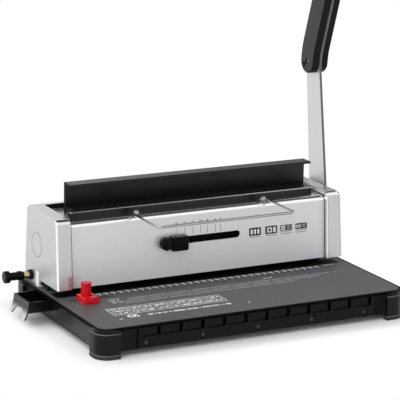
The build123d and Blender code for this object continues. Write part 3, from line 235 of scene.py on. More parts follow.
@dataclass(frozen=True)
class Finish:
    """One finish: its plain values, its grain, and painted shading between two heights."""

    name: str
    colour: Colour
    roughness: float
    metallic: float = 0.0
    specular: float = 0.5
    grain: Grain = Grain.EVEN
    grain_scale: float = 900.0
    bump: float = 0.0
    tone: float = 0.06
    haze: float = 0.04
    fade: tuple[float, float, float] | None = None

    def material(self) -> bpy.types.Material:
        """The finish's material, made on its first use.

        Returns:
            The Blender material.
        """
        made = bpy.data.materials.get(self.name)
        if made is None:
            made = bpy.data.materials.new(self.name)
            self._build(Tree.of(made))
            made.diffuse_color = (*self.colour, 1.0)
        return made

    def _build(self, tree: Tree) -> None:
        """Fills the material's tree.

        Args:
            tree: the emptied tree.
        """
        place = tree.coordinates("Object")
        drawn = tree.add("ShaderNodeMapping", inputs={
            "Vector": place, "Scale": self.grain.value})
        fine = tree.noise(drawn.outputs["Vector"], Scale=self.grain_scale, **FINE_NOISE)
        broad = tree.noise(place, **BROAD_NOISE)
        shade, gloss = (
            start + (broad - NOISE_MIDDLE) * spread + (fine - NOISE_MIDDLE) * spread
            for start, spread in ((1.0, self.tone), (self.roughness, self.haze)))
        # Painted shading: the colour is scaled from one height to the next.
        if self.fade:
            low, high, gain = self.fade
            shade = shade * (1.0 + tree.axes(place)[2].band(low, high) * (gain - 1.0))
        colour = tree.add("ShaderNodeVectorMath", {"operation": "SCALE"}, {
            0: self.colour, "Scale": shade})
        inputs = {"Base Color": colour.outputs["Vector"], "Roughness": gloss,
                  "Metallic": self.metallic, "Specular IOR Level": self.specular}
        if self.bump:
            inputs["Normal"] = tree.add("ShaderNodeBump", inputs={
                "Height": fine, "Strength": self.bump,
                "Distance": BUMP_DEPTH}).outputs["Normal"]
        shader = tree.add("ShaderNodeBsdfPrincipled", inputs=inputs)
        tree.add("ShaderNodeOutputMaterial", inputs={"Surface": shader.outputs["BSDF"]})


SILVER = Finish("satin_silver_paint", (0.69, 0.69, 0.7), 0.4, metallic=0.55,
                grain=Grain.UPRIGHT, grain_scale=1100.0, bump=0.03, tone=0.07)
# Bright polished silver: a painted highlight on the panel's bend, the caps' upright edges and
# the right cap's lip.
SILVER_HIGHLIGHT = Finish("bright_silver_bend", (0.95, 0.95, 0.96), 0.16, metallic=1.0,
                     grain_scale=2600.0, bump=0.015, tone=0.04)
SILVER_DECK = Finish("smooth_silver_deck", (0.84, 0.84, 0.85), 0.2, metallic=1.0,
                     grain_scale=2600.0, bump=0.015, tone=0.04)
SILVER_CAP = Finish("satin_silver_moulding", (0.575, 0.575, 0.585), 0.27, metallic=0.85,
                    grain_scale=2300.0, bump=0.04, tone=0.05)
# Dark silver on the right cap's outer front edge: painted shade.
SILVER_EDGE_SHADE = Finish("dim_silver_edge", (0.3, 0.3, 0.31), 0.3, metallic=0.9)
SILVER_SIDE = Finish("satin_silver_side", (0.55, 0.55, 0.56), 0.42, metallic=0.55,
                     grain_scale=2300.0, bump=0.05, tone=0.06)
SILVER_MATT = Finish("flat_silver_paint", (0.5, 0.5, 0.51), 0.6, metallic=0.1,
                     grain_scale=2300.0, bump=0.04, tone=0.06)
TABLE = Finish("dark_powder_steel", (0.084, 0.084, 0.089), 0.38, specular=0.19,
               grain_scale=2100.0, bump=0.12, tone=0.16)
# Black without reflection: painted shade on the table's rim, and the dark gap line at the
# fascia's end.
RIM_SHADE_AND_GAP = Finish("black_table_rim", (0.004, 0.004, 0.0045), 0.3, specular=0.006,
             grain_scale=1500.0, bump=0.04, tone=0.3)
TRAY = Finish("black_tray_moulding", (0.0045, 0.0045, 0.005), 0.3, specular=0.16,
              grain_scale=1500.0, bump=0.08, tone=0.3)
FASCIA = Finish("black_fascia", (0.003, 0.003, 0.0035), 0.36, specular=0.13,
                grain_scale=1700.0, bump=0.08, tone=0.3)
RUBBER = Finish("foot_rubber", (0.006, 0.006, 0.006), 0.62, specular=0.15, grain_scale=1300.0,
                bump=0.2, tone=0.3)
GUARD = Finish("black_corner_guard", (0.004, 0.004, 0.0045), 0.26, specular=0.17,
               grain_scale=1500.0, bump=0.05, tone=0.3)
# Grey metal on the blocks' rounded edges: painted highlight.
GUARD_EDGE_HIGHLIGHT = Finish("rubbed_guard_edge", (0.11, 0.11, 0.115), 0.3, metallic=0.4)
JAW = Finish("black_jaw_paint", (0.005, 0.005, 0.0055), 0.3, specular=0.3, grain_scale=1900.0,
             bump=0.06, tone=0.3)
TRIM = Finish("matt_black_trim", (0.004, 0.004, 0.004), 0.6, specular=0.15,
              grain_scale=1400.0, bump=0.1, tone=0.3)
SELECTOR = Finish("black_selector", (0.003, 0.003, 0.0035), 0.26, specular=0.1,
                  grain_scale=1900.0, bump=0.1, tone=0.3)
# Lighter black on the selector's upper faces: painted light.
SELECTOR_TOP_LIGHT = Finish("rubbed_selector_top", (0.05, 0.05, 0.052), 0.3, metallic=0.3)
GRIP = Finish("grip_moulding", (0.004, 0.004, 0.0045), 0.42, specular=0.12,
              grain_scale=1500.0, bump=0.15, tone=0.3)
GRIP_FACE = Finish("grip_face", (0.028, 0.028, 0.03), 0.55, specular=0.3, grain_scale=1200.0,
                   bump=0.3, tone=0.25)
ARM = Finish("brushed_arm_steel", (0.64, 0.64, 0.65), 0.34, metallic=0.8,
             grain=Grain.LONG_UPRIGHT, grain_scale=1500.0, bump=0.06, tone=0.06)
# Much darker steel on the arm's edges: painted shade.
ARM_EDGE_SHADE = Finish("cut_arm_edge", (0.13, 0.13, 0.135), 0.42, metallic=0.8,
                  grain=Grain.LONG_ACROSS, grain_scale=1500.0, bump=0.06, tone=0.2)
# Bright steel along the anvil's upper front edge: painted highlight.
ANVIL_EDGE_HIGHLIGHT = Finish("worn_steel_edge", (0.5, 0.5, 0.51), 0.25, metallic=1.0, grain_scale=900.0,
                   tone=0.3)
CHROME = Finish("chromed_wire", (0.48, 0.48, 0.49), 0.14, metallic=1.0, grain_scale=700.0,
                tone=0.04)
LUG = Finish("bright_lug", (0.42, 0.42, 0.43), 0.3, metallic=1.0, grain_scale=900.0,
             tone=0.08)
GROUND = Finish("ground_tool_steel", (0.42, 0.42, 0.44), 0.3, metallic=0.95,
                grain=Grain.ACROSS, grain_scale=1300.0, bump=0.06, tone=0.1)
OXIDE = Finish("black_oxide_steel", (0.006, 0.006, 0.006), 0.55, specular=0.12,
               grain=Grain.ACROSS, grain_scale=1300.0, bump=0.06, tone=0.3)
ZINC = Finish("zinc_plated_steel", (0.5, 0.5, 0.5), 0.34, metallic=0.9, grain_scale=500.0,
              tone=0.12)
SCREW = Finish("blackened_screw", (0.003, 0.003, 0.003), 0.1, specular=0.6, tone=0.2)
BRASS = Finish("brass_collar", (0.5, 0.42, 0.24), 0.36, metallic=1.0, grain_scale=900.0,
               tone=0.1)
BRONZE = Finish("sintered_bronze", (0.5, 0.33, 0.17), 0.42, metallic=0.9, grain_scale=1800.0,
                bump=0.1, tone=0.2)
RED = Finish("red_moulding", (0.58, 0.001, 0.008), 0.18, specular=0.3, grain_scale=1300.0,
             bump=0.05, tone=0.1)
WHITE = Finish("white_nylon", (0.95, 0.95, 0.94), 0.45, grain_scale=1500.0, bump=0.08,
               tone=0.04)
# Bright metal on the black pull's outer face, dark towards its top: painted reflection.
PULL_REFLECTION = Finish("polished_drawer_pull", (0.62, 0.62, 0.63), 0.16, metallic=0.7,
              grain_scale=1500.0, bump=0.03, tone=0.2, fade=(0.0125, 0.0225, 0.04))
DRAWER = Finish("black_drawer_moulding", (0.004, 0.004, 0.0045), 0.24, specular=0.3,
                grain_scale=1500.0, bump=0.05, tone=0.3)
WHITE_INK = Finish("white_print", (0.84, 0.84, 0.84), 0.55, grain_scale=2500.0, tone=0.25)
GREY_INK = Finish("grey_print", (0.52, 0.52, 0.525), 0.55, grain_scale=2500.0, tone=0.25)
BLACK_INK = Finish("black_print", (0.004, 0.004, 0.0045), 0.5, specular=0.15,
                   grain_scale=2500.0, tone=0.2)
SCALE_INK = Finish("dark_grey_print", (0.07, 0.07, 0.075), 0.5, grain_scale=2500.0, tone=0.2)


class GrowTree(Tree):
    """A geometry tree with named inputs, closed by Realize Instances and Set Material."""

    def __init__(self, name: str, sizes: dict[str, tuple[str, object]]) -> None:
        """Opens a tree with one named input for each size.

        Args:
            name: the tree's name.
            sizes: the socket type and first value of each input, by its name.
        """
        group = bpy.data.node_groups.new(name, "GeometryNodeTree")
        super().__init__(group)
        group.interface.new_socket("Geometry", in_out="INPUT",
                                   socket_type="NodeSocketGeometry")
        for label, (kind, value) in {**sizes, "Finish": ("NodeSocketMaterial", None)}.items():
            socket = group.interface.new_socket(label, in_out="INPUT", socket_type=kind)
            if value is not None:
                socket.default_value = value
        group.interface.new_socket("Geometry", in_out="OUTPUT",
                                   socket_type="NodeSocketGeometry")
        self.entry = self.add("NodeGroupInput")

    def size(self, label: str) -> Value:
        """The value of a named input."""
        return Value(self, self.entry.outputs[label])

    def vector(self, *parts: object) -> bpy.types.NodeSocket:
        """A vector of three numbers or Values."""
        return self.add("ShaderNodeCombineXYZ", inputs=dict(enumerate(parts))).outputs[0]

    def moved(self, geometry: bpy.types.NodeSocket,
              centre: bpy.types.NodeSocket) -> bpy.types.NodeSocket:
        """Geometry moved to a place."""
        return self.add("GeometryNodeTransform", inputs={
            "Geometry": geometry, "Translation": centre}).outputs["Geometry"]

    def cube(self, size: bpy.types.NodeSocket,
             centre: bpy.types.NodeSocket) -> bpy.types.NodeSocket:
        """A block of a size at a centre.

        Args:
            size: its three lengths.
            centre: the place of its middle.

        Returns:
            The geometry socket.
        """
        block = self.add("GeometryNodeMeshCube", inputs={"Size": size})
        return self.moved(block.outputs["Mesh"], centre)

    def close(self, geometry: bpy.types.NodeSocket) -> bpy.types.NodeTree:
        """Realises the instances, sets the finish and ends the tree.

        Args:
            geometry: what the tree has made.

        Returns:
            The finished tree.
        """
        real = self.add("GeometryNodeRealizeInstances", inputs={"Geometry": geometry})
        dressed = self.add("GeometryNodeSetMaterial", inputs={
            "Geometry": real.outputs["Geometry"],
            "Material": self.entry.outputs["Finish"]})
        self.add("NodeGroupOutput", inputs={"Geometry": dressed.outputs["Geometry"]})
        return self.tree


def add_object(name: str, mesh: bpy.types.Mesh) -> bpy.types.Object:
    """Puts a mesh into the scene as an object at the origin.

    Args:
        name: the piece's name.
        mesh: its mesh, with its place in its vertices.

    Returns:
        The new object.
    """
    obj = bpy.data.objects.new(name, mesh)
    bpy.context.scene.collection.objects.link(obj)
    return obj


def baked(obj: bpy.types.Object) -> None:
    """Turns an object's modifiers into its plain mesh and removes them.

    Args:
        obj: the object to settle.
    """
    bpy.context.view_layer.update()
    ready = obj.evaluated_get(bpy.context.evaluated_depsgraph_get())
    mesh = bpy.data.meshes.new_from_object(ready)
    obj.modifiers.clear()
    obj.data = mesh


@contextmanager
def editing(mesh: bpy.types.Mesh) -> Iterator[bmesh.types.BMesh]:
    """Opens a mesh for editing and writes it back at the end.

    Args:
        mesh: the mesh to change.

    Yields:
        Its editable form.
    """
    work = bmesh.new()
    work.from_mesh(mesh)
    yield work
    work.to_mesh(mesh)
    work.free()


def smoothed(mesh: bpy.types.Mesh, limit: float) -> None:
    """Shades a mesh smooth, except at its sharp edges.

    Args:
        mesh: the mesh.
        limit: turn in degrees from which an edge is sharp.
    """
    for polygon in mesh.polygons:
        polygon.use_smooth = True
    mesh.set_sharp_from_angle(angle=math.radians(limit))


def rounded(obj: bpy.types.Object, width: float, steps: int, limit: float) -> None:
    """Rounds an object's edges and leaves a plain mesh.

    Args:
        obj: the object.
        width: width of the rounding.
        steps: how many faces it has across.
        limit: turn in degrees from which an edge is rounded.
    """
    bevel = obj.modifiers.new("Edge", "BEVEL")
    bevel.width = width
    bevel.segments = steps
    bevel.limit_method = "ANGLE"
    bevel.angle_limit = math.radians(limit)
    bevel.harden_normals = True
    baked(obj)


def grow(name: str, tree: bpy.types.NodeTree, finish: Finish, sizes: dict[str, object],
         seeds: Sequence[Vector] = ()) -> bpy.types.Object:
    """Grows a piece with a geometry tree and leaves a plain mesh.

    Args:
        name: the piece's name.
        tree: the geometry tree.
        finish: its finish.
        sizes: values of the tree's named inputs.
        seeds: points that the tree starts from, if it needs any.

    Returns:
        The new object.
    """
    mesh = bpy.data.meshes.new(name)
    mesh.from_pydata([tuple(seed) for seed in seeds], [], [])
    obj = add_object(name, mesh)
    modifier = obj.modifiers.new("Grow", "NODES")
    modifier.node_group = tree
    keys = {item.name: item.identifier for item in tree.interface.items_tree
            if item.item_type == "SOCKET" and item.in_out == "INPUT"}
    for label, value in {**sizes, "Finish": finish.material()}.items():
        modifier[keys[label]] = value
    baked(obj)
    return obj


def seat(obj: bpy.types.Object, body: str, *,
         nodes: Iterable[str] = ()) -> None:
    """Makes a piece ride on its body and hides the CAD nodes that it stands for.

    Args:
        obj: the piece.
        body: name of the CAD body.
        nodes: CAD nodes that it replaces.
    """
    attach(obj, body)
    if nodes:
        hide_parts(*nodes)
    LOG.info("piece %s on %s, %d faces", obj.name, body, len(obj.data.polygons))


@dataclass
class Softened:
    """A merged copy of a CAD node with small rounded edges, which stands for it."""

    node: str
    body: str
    finish: Finish
    slot: str
    edge: float = 0.4 * MM
    steps: int = 2
    limit: float = 32.0
    flat: float = 0.6
    joined: bool = True
    recolour: Callable[[bpy.types.Object], None] | None = None

    def build(self) -> bpy.types.Object:
        """Copies, merges and rounds the node's mesh.

        Returns:
            The piece that stands for the node.
        """
        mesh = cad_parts[self.node].data.copy()
        mesh.name = self.node + "_soft"
        with editing(mesh) as work:
            bmesh.ops.remove_doubles(work, verts=work.verts, dist=MERGE_GAP)
            if self.joined:
                bmesh.ops.dissolve_limit(work, angle_limit=math.radians(self.flat),
                                         verts=work.verts, edges=work.edges)
        mesh.materials.clear()
        mesh.materials.append(self.finish.material())
        smoothed(mesh, self.limit)
        obj = add_object(self.node + "_soft", mesh)
        if self.edge:
            rounded(obj, self.edge, self.steps, self.limit)
        if self.recolour:
            self.recolour(obj)
        seat(obj, self.body, nodes=[self.node])
        return obj


def paint_faces(obj: bpy.types.Object, finish: Finish,
                chosen: Callable[[bpy.types.MeshPolygon], bool]) -> None:
    """Gives some faces of a piece a second finish.

    Args:
        obj: the piece.
        finish: the second finish.
        chosen: says whether a face takes it.
    """
    obj.data.materials.append(finish.material())
    number = len(obj.data.materials) - 1
    for polygon in obj.data.polygons:
        if chosen(polygon):
            polygon.material_index = number


@dataclass
class Print:
    """A thin layer of ink: flat outlines raised a hair above the surface under them."""

    name: str
    finish: Finish
    place: Placer
    thickness: float = 0.04 * MM
    body: str = "machine"
    outlines: list[list[Point2]] = field(default_factory=list)

    def bars(self, *bars: Bar) -> "Print":
        """Adds rectangles, in millimetres.

        Args:
            bars: for each its centre across and along, its width and its height.

        Returns:
            This layer.
        """
        for x, y, width, height in bars:
            half_w, half_h = width / 2, height / 2
            self.outlines.append([(x - half_w, y - half_h), (x + half_w, y - half_h),
                                  (x + half_w, y + half_h), (x - half_w, y + half_h)])
        return self

    def ring(self, x: float, y: float, radius: float, width: float, steps: int = 16) -> "Print":
        """Adds a ring of short bars, in millimetres.

        Args:
            x: its centre across.
            y: its centre along the second direction.
            radius: radius of the line's middle.
            width: the line's width.
            steps: how many bars it has.

        Returns:
            This layer.
        """
        inner, outer = radius - width / 2, radius + width / 2
        for step in range(steps):
            a, b = (2 * math.pi * (step + k) / steps for k in (0, 1))
            self.outlines.append([
                (x + reach * math.cos(turn), y + reach * math.sin(turn))
                for reach, turn in ((inner, a), (outer, a), (outer, b), (inner, b))])
        return self

    def build(self) -> None:
        """Makes the layer's mesh from its outlines and seats it."""
        points: list[Vector] = []
        faces: list[list[int]] = []
        for outline in self.outlines:
            start, count = len(points), len(outline)
            for depth in (0.0, self.thickness):
                points += [self.place(x * MM, y * MM, depth) for x, y in outline]
            top = [start + count + k for k in range(count)]
            low = [start + k for k in range(count)]
            faces += [top, low[::-1]]
            faces += [[low[k], low[(k + 1) % count], top[(k + 1) % count], top[k]]
                      for k in range(count)]
        mesh = bpy.data.meshes.new(self.name)
        mesh.from_pydata([tuple(point) for point in points], [], faces)
        with editing(mesh) as work:
            bmesh.ops.recalc_face_normals(work, faces=work.faces)
        mesh.materials.append(self.finish.material())
        seat(add_object(self.name, mesh), self.body)


def bar_row(x: float, y: float, count: int, step: float, size: Point2) -> list[Bar]:
    """A row of equal bars.

    Args:
        x: centre of the first across.
        y: their centre along the second direction.
        count: how many there are.
        step: distance from one to the next.
        size: width and height of each.

    Returns:
        The bars.
    """
    return [(x + k * step, y, *size) for k in range(count)]


def on_table(x: float, y: float, depth: float) -> Vector:
    """Point on the table, by its place across from the middle of the base and its Y."""
    return Vector((BASE_X + x, y, TABLE_Z + depth))


def leaning(foot: Point2, head: Point2) -> Placer:
    """Makes the function that places points on a front which leans back.

    Args:
        foot: Y and Z of the front's lower edge.
        head: Y and Z of its upper edge.

    Returns:
        The point for a place across, a height and a distance before the front.
    """
    lean = (head[0] - foot[0]) / (head[1] - foot[1])

    def place(x: float, z: float, depth: float) -> Vector:
        """Point before the front."""
        return Vector((BASE_X + x, foot[0] + (z - foot[1]) * lean - depth, z))

    return place


on_panel = leaning((0.012, 0.041), (0.017, 0.112))
on_cap = leaning((0.0073, 0.041), (0.0125, 0.1175))


def on_side(y: float, z: float, depth: float) -> Vector:
    """Point on the left cap's outer side, by its place in depth and its height."""
    return Vector((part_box("left_cap")[0][0] - depth, y, z))


def on_fascia(x: float, z: float, depth: float) -> Vector:
    """Point on the fascia's front from a place across its length and a height."""
    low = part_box("front_fascia")[0]
    return Vector((low[0] + x, low[1] - depth, z))


@dataclass
class TablePrint:
    """The paper table's marks, guide lines, framed grid and fine lines, and a painted shadow
    along the throat, in millimetres.
    """

    hole_count: int = 34
    hole_pitch: float = 25.4 / 3
    row_x: float = -0.8
    row_y: float = 6.8
    mark_stroke: float = 4.6
    mark_leg: float = 4.2
    mark_line: float = 1.7
    mark_ink: float = 0.04
    # A matt black bar along the throat: painted shadow.
    strip: Bar = (-2.6, 19.0, 351.0, 17.2)
    strip_ink: float = 0.03
    guides: tuple[tuple[float, float, float], ...] = (
        (-20.0, -109.0, 142.0), (-26.6, -114.0, 124.0), (-33.4, -118.0, 92.0))
    guide_line: float = 1.0
    dash_lengths: Point2 = (21.0, 27.0)
    dash_gap: float = 2.4
    short_guides: tuple[float, ...] = (149.0, 156.0)
    short_length: float = 3.6
    block_x: float = 149.6
    block_step: float = 2.9
    block_count: int = 5
    block_size: Point2 = (2.3, 2.4)
    labels: tuple[float, ...] = (-17.2, -22.8, -29.2)
    label_ends: Point2 = (-131.0, -118.5)
    label_height: float = 2.2
    small_label: tuple[Bar, ...] = ((62.0, -12.5, 2.4, 1.4), (65.2, -11.3, 1.4, 1.4),
                                    (68.4, -12.5, 3.2, 1.4), (71.6, -11.3, 1.6, 1.4))
    grid_left: float = -148.0
    grid_right: float = -15.0
    grid_cell: float = -121.0
    grid_rows: tuple[float, float, float] = (-47.0, -58.5, -70.0)
    grid_frame: float = 0.8
    grid_line: float = 0.7
    columns: int = 8
    cell_margins: Point2 = (2.2, 2.0)
    cell_height: float = 5.2
    side_rows: int = 3
    side_margins: Point2 = (3.0, 2.0)
    side_drop: float = 4.4
    side_step: float = 6.8
    side_height: float = 3.6
    sign_ring: Bar = (-132.6, -78.0, 3.6, 2.2)
    sign_bars: tuple[Bar, ...] = ((-126.6, -75.4, 3.4, 3.6), (-126.0, -81.0, 3.4, 3.6))
    line_ends: Point2 = (-114.0, -16.5)
    line_y: float = -80.0
    line_height: float = 4.4
    far_bars: tuple[Bar, ...] = ((-147.0, -84.0, 4.0, 1.2), (2.7, -84.5, 1.8, 1.8))
    stroke_widths: Point2 = (0.7, 2.2)
    stroke_shares: tuple[float, ...] = (1.0, 1.0, 0.7)
    stroke_gaps: tuple[float, ...] = (0.6, 0.8, 0.8, 2.4)
    seed: int = 7

    def marks_tree(self) -> bpy.types.NodeTree:
        """Geometry tree for the row of bent marks, one for each hole.

        Returns:
            The tree.
        """
        tree = GrowTree("hole_marks", {
            "Count": ("NodeSocketInt", self.hole_count),
            "Pitch": ("NodeSocketFloat", self.hole_pitch * MM),
            "Start": ("NodeSocketVector", (0.0, 0.0, 0.0)),
            "Stroke": ("NodeSocketFloat", self.mark_stroke * MM),
            "Leg": ("NodeSocketFloat", self.mark_leg * MM),
            "Line": ("NodeSocketFloat", self.mark_line * MM),
            "Ink": ("NodeSocketFloat", self.mark_ink * MM)})
        stroke, leg = tree.size("Stroke"), tree.size("Leg")
        line, ink = tree.size("Line"), tree.size("Ink")
        bar = tree.cube(tree.vector(stroke, line, ink), tree.vector(0.0, 0.0, ink * 0.5))
        foot = tree.cube(tree.vector(line, leg, ink), tree.vector(
            (stroke - line) * 0.5, (leg + line) * -0.5, ink * 0.5))
        mark = tree.add("GeometryNodeJoinGeometry", inputs={"Geometry": [bar, foot]})
        row = tree.add("GeometryNodeMeshLine", inputs={
            "Count": tree.size("Count"), "Start Location": tree.size("Start"),
            "Offset": tree.vector(tree.size("Pitch"), 0.0, 0.0)})
        spread = tree.add("GeometryNodeInstanceOnPoints", inputs={
            "Points": row.outputs["Mesh"], "Instance": mark.outputs["Geometry"]})
        return tree.close(spread.outputs["Instances"])

    def build(self) -> None:
        """Prints the marks, a painted shadow along the throat, the guide lines, the grid and
        the sign.
        """
        start_x = self.row_x - self.hole_pitch * (self.hole_count - 1) / 2
        marks = grow("hole_marks", self.marks_tree(), WHITE_INK, {
            "Start": tuple(on_table(start_x * MM, self.row_y * MM, 0.0))})
        seat(marks, "machine")
        # Painted shadow on the table under the throat.
        Print("throat_strip", TRIM, on_table, self.strip_ink * MM).bars(self.strip).build()
        rng = random.Random(self.seed)
        self._guides(rng)
        self._grid(rng)
        self._sign(rng)

    def _strokes(self, ink: Print, rng: random.Random, ends: Point2, y: float,
                 height: float) -> None:
        """Fills a line with short upright strokes that stand for small writing.

        Args:
            ink: the layer that takes them.
            rng: the seeded source of widths.
            ends: where the line starts and ends.
            y: its middle.
            height: its height.
        """
        x, right = ends
        while x < right - min(self.stroke_gaps):
            width = min(rng.uniform(*self.stroke_widths), right - x)
            ink.bars((x + width / 2, y, width, height * rng.choice(self.stroke_shares)))
            x += width + rng.choice(self.stroke_gaps)

    def _guides(self, rng: random.Random) -> None:
        """Prints the long-dashed guide lines with their labels.

        Args:
            rng: the seeded source of lengths.
        """
        ink = Print("guide_lines", GREY_INK, on_table)
        for y, left, right in self.guides:
            x = left
            while x < right:
                end = min(x + rng.uniform(*self.dash_lengths), right)
                ink.bars(((x + end) / 2, y, end - x, self.guide_line))
                x = end + self.dash_gap
        for x in self.short_guides:
            ink.bars((x, self.guides[0][0], self.short_length, self.guide_line))
        ink.bars(*bar_row(self.block_x, self.row_y, self.block_count, self.block_step,
                          self.block_size)).build()
        names = Print("guide_labels", WHITE_INK, on_table)
        for y in self.labels:
            self._strokes(names, rng, self.label_ends, y, self.label_height)
        names.bars(*self.small_label).build()

    def _grid(self, rng: random.Random) -> None:
        """Prints the framed grid with its rows of short strokes.

        Args:
            rng: the seeded source of lengths.
        """
        ink = Print("table_grid", WHITE_INK, on_table)
        top, middle, bottom = self.grid_rows
        left, right, cell = self.grid_left, self.grid_right, self.grid_cell
        centre, tall = (top + bottom) / 2, top - bottom
        ink.bars(*(((left + right) / 2, y, right - left, self.grid_frame)
                   for y in (top, bottom)))
        ink.bars(*((x, centre, self.grid_frame, tall) for x in (left, right)))
        ink.bars(((cell + right) / 2, middle, right - cell, self.grid_line))
        step = (right - cell) / self.columns
        for x, *rest in bar_row(cell, centre, self.columns, step, (self.grid_line, tall)):
            ink.bars((x, *rest))
            ends = (x + self.cell_margins[0], x + step - self.cell_margins[1])
            for y in ((top + middle) / 2, (middle + bottom) / 2):
                self._strokes(ink, rng, ends, y, self.cell_height)
        for k in range(self.side_rows):
            self._strokes(ink, rng, (left + self.side_margins[0], cell - self.side_margins[1]),
                          top - self.side_drop - self.side_step * k, self.side_height)
        ink.build()

    def _sign(self, rng: random.Random) -> None:
        """Prints the bold sign and the fine line beside it.

        Args:
            rng: the seeded source of lengths.
        """
        ink = Print("sheet_sign", WHITE_INK, on_table)
        ink.ring(*self.sign_ring).bars(*self.sign_bars)
        self._strokes(ink, rng, self.line_ends, self.line_y, self.line_height)
        ink.bars(*self.far_bars).build()


@dataclass
class PanelPrint:
    """The front's scale over the slot, its four plain signs, its joint lines and a painted
    highlight beside the right cap's joint.
    """

    ticks: tuple[float, ...] = (-34.4, -23.8, -13.8, -4.3, 4.2, 14.2, 20.5)
    numbers: tuple[str, ...] = ("14", "12", "11", "10", "8", "6", "5")
    tick_line: float = 0.5
    tick_low: float = 85.4
    tick_high: float = 93.6
    number_z: float = 96.8
    number_size: float = 4.6 * MM
    number_depth: float = 0.02 * MM
    number_bold: float = 0.12 * MM
    number_steps: int = 3
    signs: tuple[float, ...] = (64.0, 84.6, 103.8, 123.4)
    sign_width: float = 15.0
    sign_low: float = 75.4
    sign_high: float = 84.2
    sign_ink: float = 0.07
    short_from: int = 2
    short_share: float = 0.72
    short_lift: float = 0.6
    short_feet: tuple[float, float, int, float, Point2] = (-6.2, 0.6, 6, 2.5, (1.8, 0.8))
    feet: tuple[float, float, int, float, Point2] = (-6.0, -1.6, 7, 2.0, (1.4, 0.9))
    shapes: tuple[tuple[Bar, ...], ...] = (
        ((-4.2, 0.0, 2.6, 5.4), (0.0, 0.0, 2.6, 5.4), (4.2, 0.0, 2.6, 5.4)),
        ((-4.4, 0.0, 1.7, 5.8), (0.2, 0.0, 1.7, 5.8), (-2.1, 2.1, 4.6, 1.6),
         (-2.1, -2.1, 4.6, 1.6), (4.2, 0.0, 3.4, 5.8)),
        ((-3.6, -1.2, 5.6, 1.1), (-3.6, 0.6, 5.6, 1.1), (-3.6, 2.4, 5.6, 1.1),
         (3.4, -0.4, 4.8, 0.7), (3.4, 2.0, 4.8, 0.7)),
        ((3.6, -0.4, 4.6, 0.7), (3.6, 2.0, 4.6, 0.7)))
    loops: tuple[tuple[float, ...], ...] = ((), (), (), (-5.2, -1.8))
    loop: tuple[float, float, float, int] = (0.6, 1.4, 0.9, 10)
    joints: tuple[Bar, ...] = ((-159.1, 73.0, 0.5, 72.0), (153.7, 73.0, 0.5, 72.0))
    groove: Bar = (155.9, 76.0, 0.35, 66.0)
    lip: Bar = (155.0, 76.0, 1.2, 70.0)
    plug_gap: float = 0.1
    plug_line: float = 0.4
    plug_steps: int = 48

    def build(self) -> None:
        """Prints the ticks, the numbers, the signs, the joint lines and the painted highlight.
        """
        Print("scale_ticks", SCALE_INK, on_panel).bars(*(
            (x, (self.tick_low + self.tick_high) / 2, self.tick_line,
             self.tick_high - self.tick_low) for x in self.ticks)).build()
        self._numbers()
        self._signs()
        Print("cap_joints", BLACK_INK, on_panel).bars(*self.joints).build()
        Print("cap_groove", SCALE_INK, on_cap).bars(self.groove).build()
        # A bright bar beside the right cap's joint: painted highlight.
        Print("cap_lip", SILVER_HIGHLIGHT, on_cap).bars(self.lip).build()
        low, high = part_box("cap_plug")
        Print("plug_joint", BLACK_INK, on_side).ring(
            (low[1] + high[1]) / 2 / MM, (low[2] + high[2]) / 2 / MM,
            (high[2] - low[2]) / 2 / MM + self.plug_gap, self.plug_line,
            self.plug_steps).build()

    def _numbers(self) -> None:
        """Sets the plain numbers of the scale as thin raised type."""
        joined = bpy.data.meshes.new("scale_numbers")
        with editing(joined) as work:
            for x, number in zip(self.ticks, self.numbers):
                work.from_mesh(self._number(x * MM, number))
        joined.materials.append(SCALE_INK.material())
        seat(add_object("scale_numbers", joined), "machine")

    def _number(self, x: float, number: str) -> bpy.types.Mesh:
        """Sets one number.

        Args:
            x: its middle across, in metres.
            number: its digits.

        Returns:
            Its mesh, in its place on the panel.
        """
        curve = bpy.data.curves.new("number_" + number, "FONT")
        curve.body = number
        curve.size = self.number_size
        curve.align_x = "CENTER"
        curve.resolution_u = self.number_steps
        curve.extrude = self.number_depth
        curve.offset = self.number_bold
        text = bpy.data.objects.new("number_" + number, curve)
        bpy.context.scene.collection.objects.link(text)
        bpy.context.view_layer.update()
        depsgraph = bpy.context.evaluated_depsgraph_get()
        mesh = bpy.data.meshes.new_from_object(text.evaluated_get(depsgraph))
        bpy.data.objects.remove(text)
        for vertex in mesh.vertices:
            across, up, depth = vertex.co
            vertex.co = on_panel(x + across, self.number_z * MM + up,
                                 depth + self.number_depth)
        return mesh

    def _signs(self) -> None:
        """Prints four black grounds, each with a plain white shape and dark feet."""
        black = Print("sign_grounds", BLACK_INK, on_panel)
        white = Print("sign_shapes", WHITE_INK, on_panel, self.sign_ink * MM)
        foot = Print("sign_feet", SCALE_INK, on_panel)
        middle, tall = (self.sign_low + self.sign_high) / 2, self.sign_high - self.sign_low
        lift, radius, line, steps = self.loop
        for number, x in enumerate(self.signs):
            rows = [self.feet]
            if number < self.short_from:
                black.bars((x, middle, self.sign_width, tall))
            else:
                black.bars((x, middle + self.short_lift, self.sign_width,
                            tall * self.short_share))
                rows.insert(0, self.short_feet)
            for start, rise, *row in rows:
                foot.bars(*bar_row(x + start, self.sign_low + rise, *row))
            for across in self.loops[number]:
                white.ring(x + across, middle + lift, radius, line, steps)
            white.bars(*((x + across, middle + up, width, height)
                         for across, up, width, height in self.shapes[number]))
        for layer in (black, white, foot):
            layer.build()


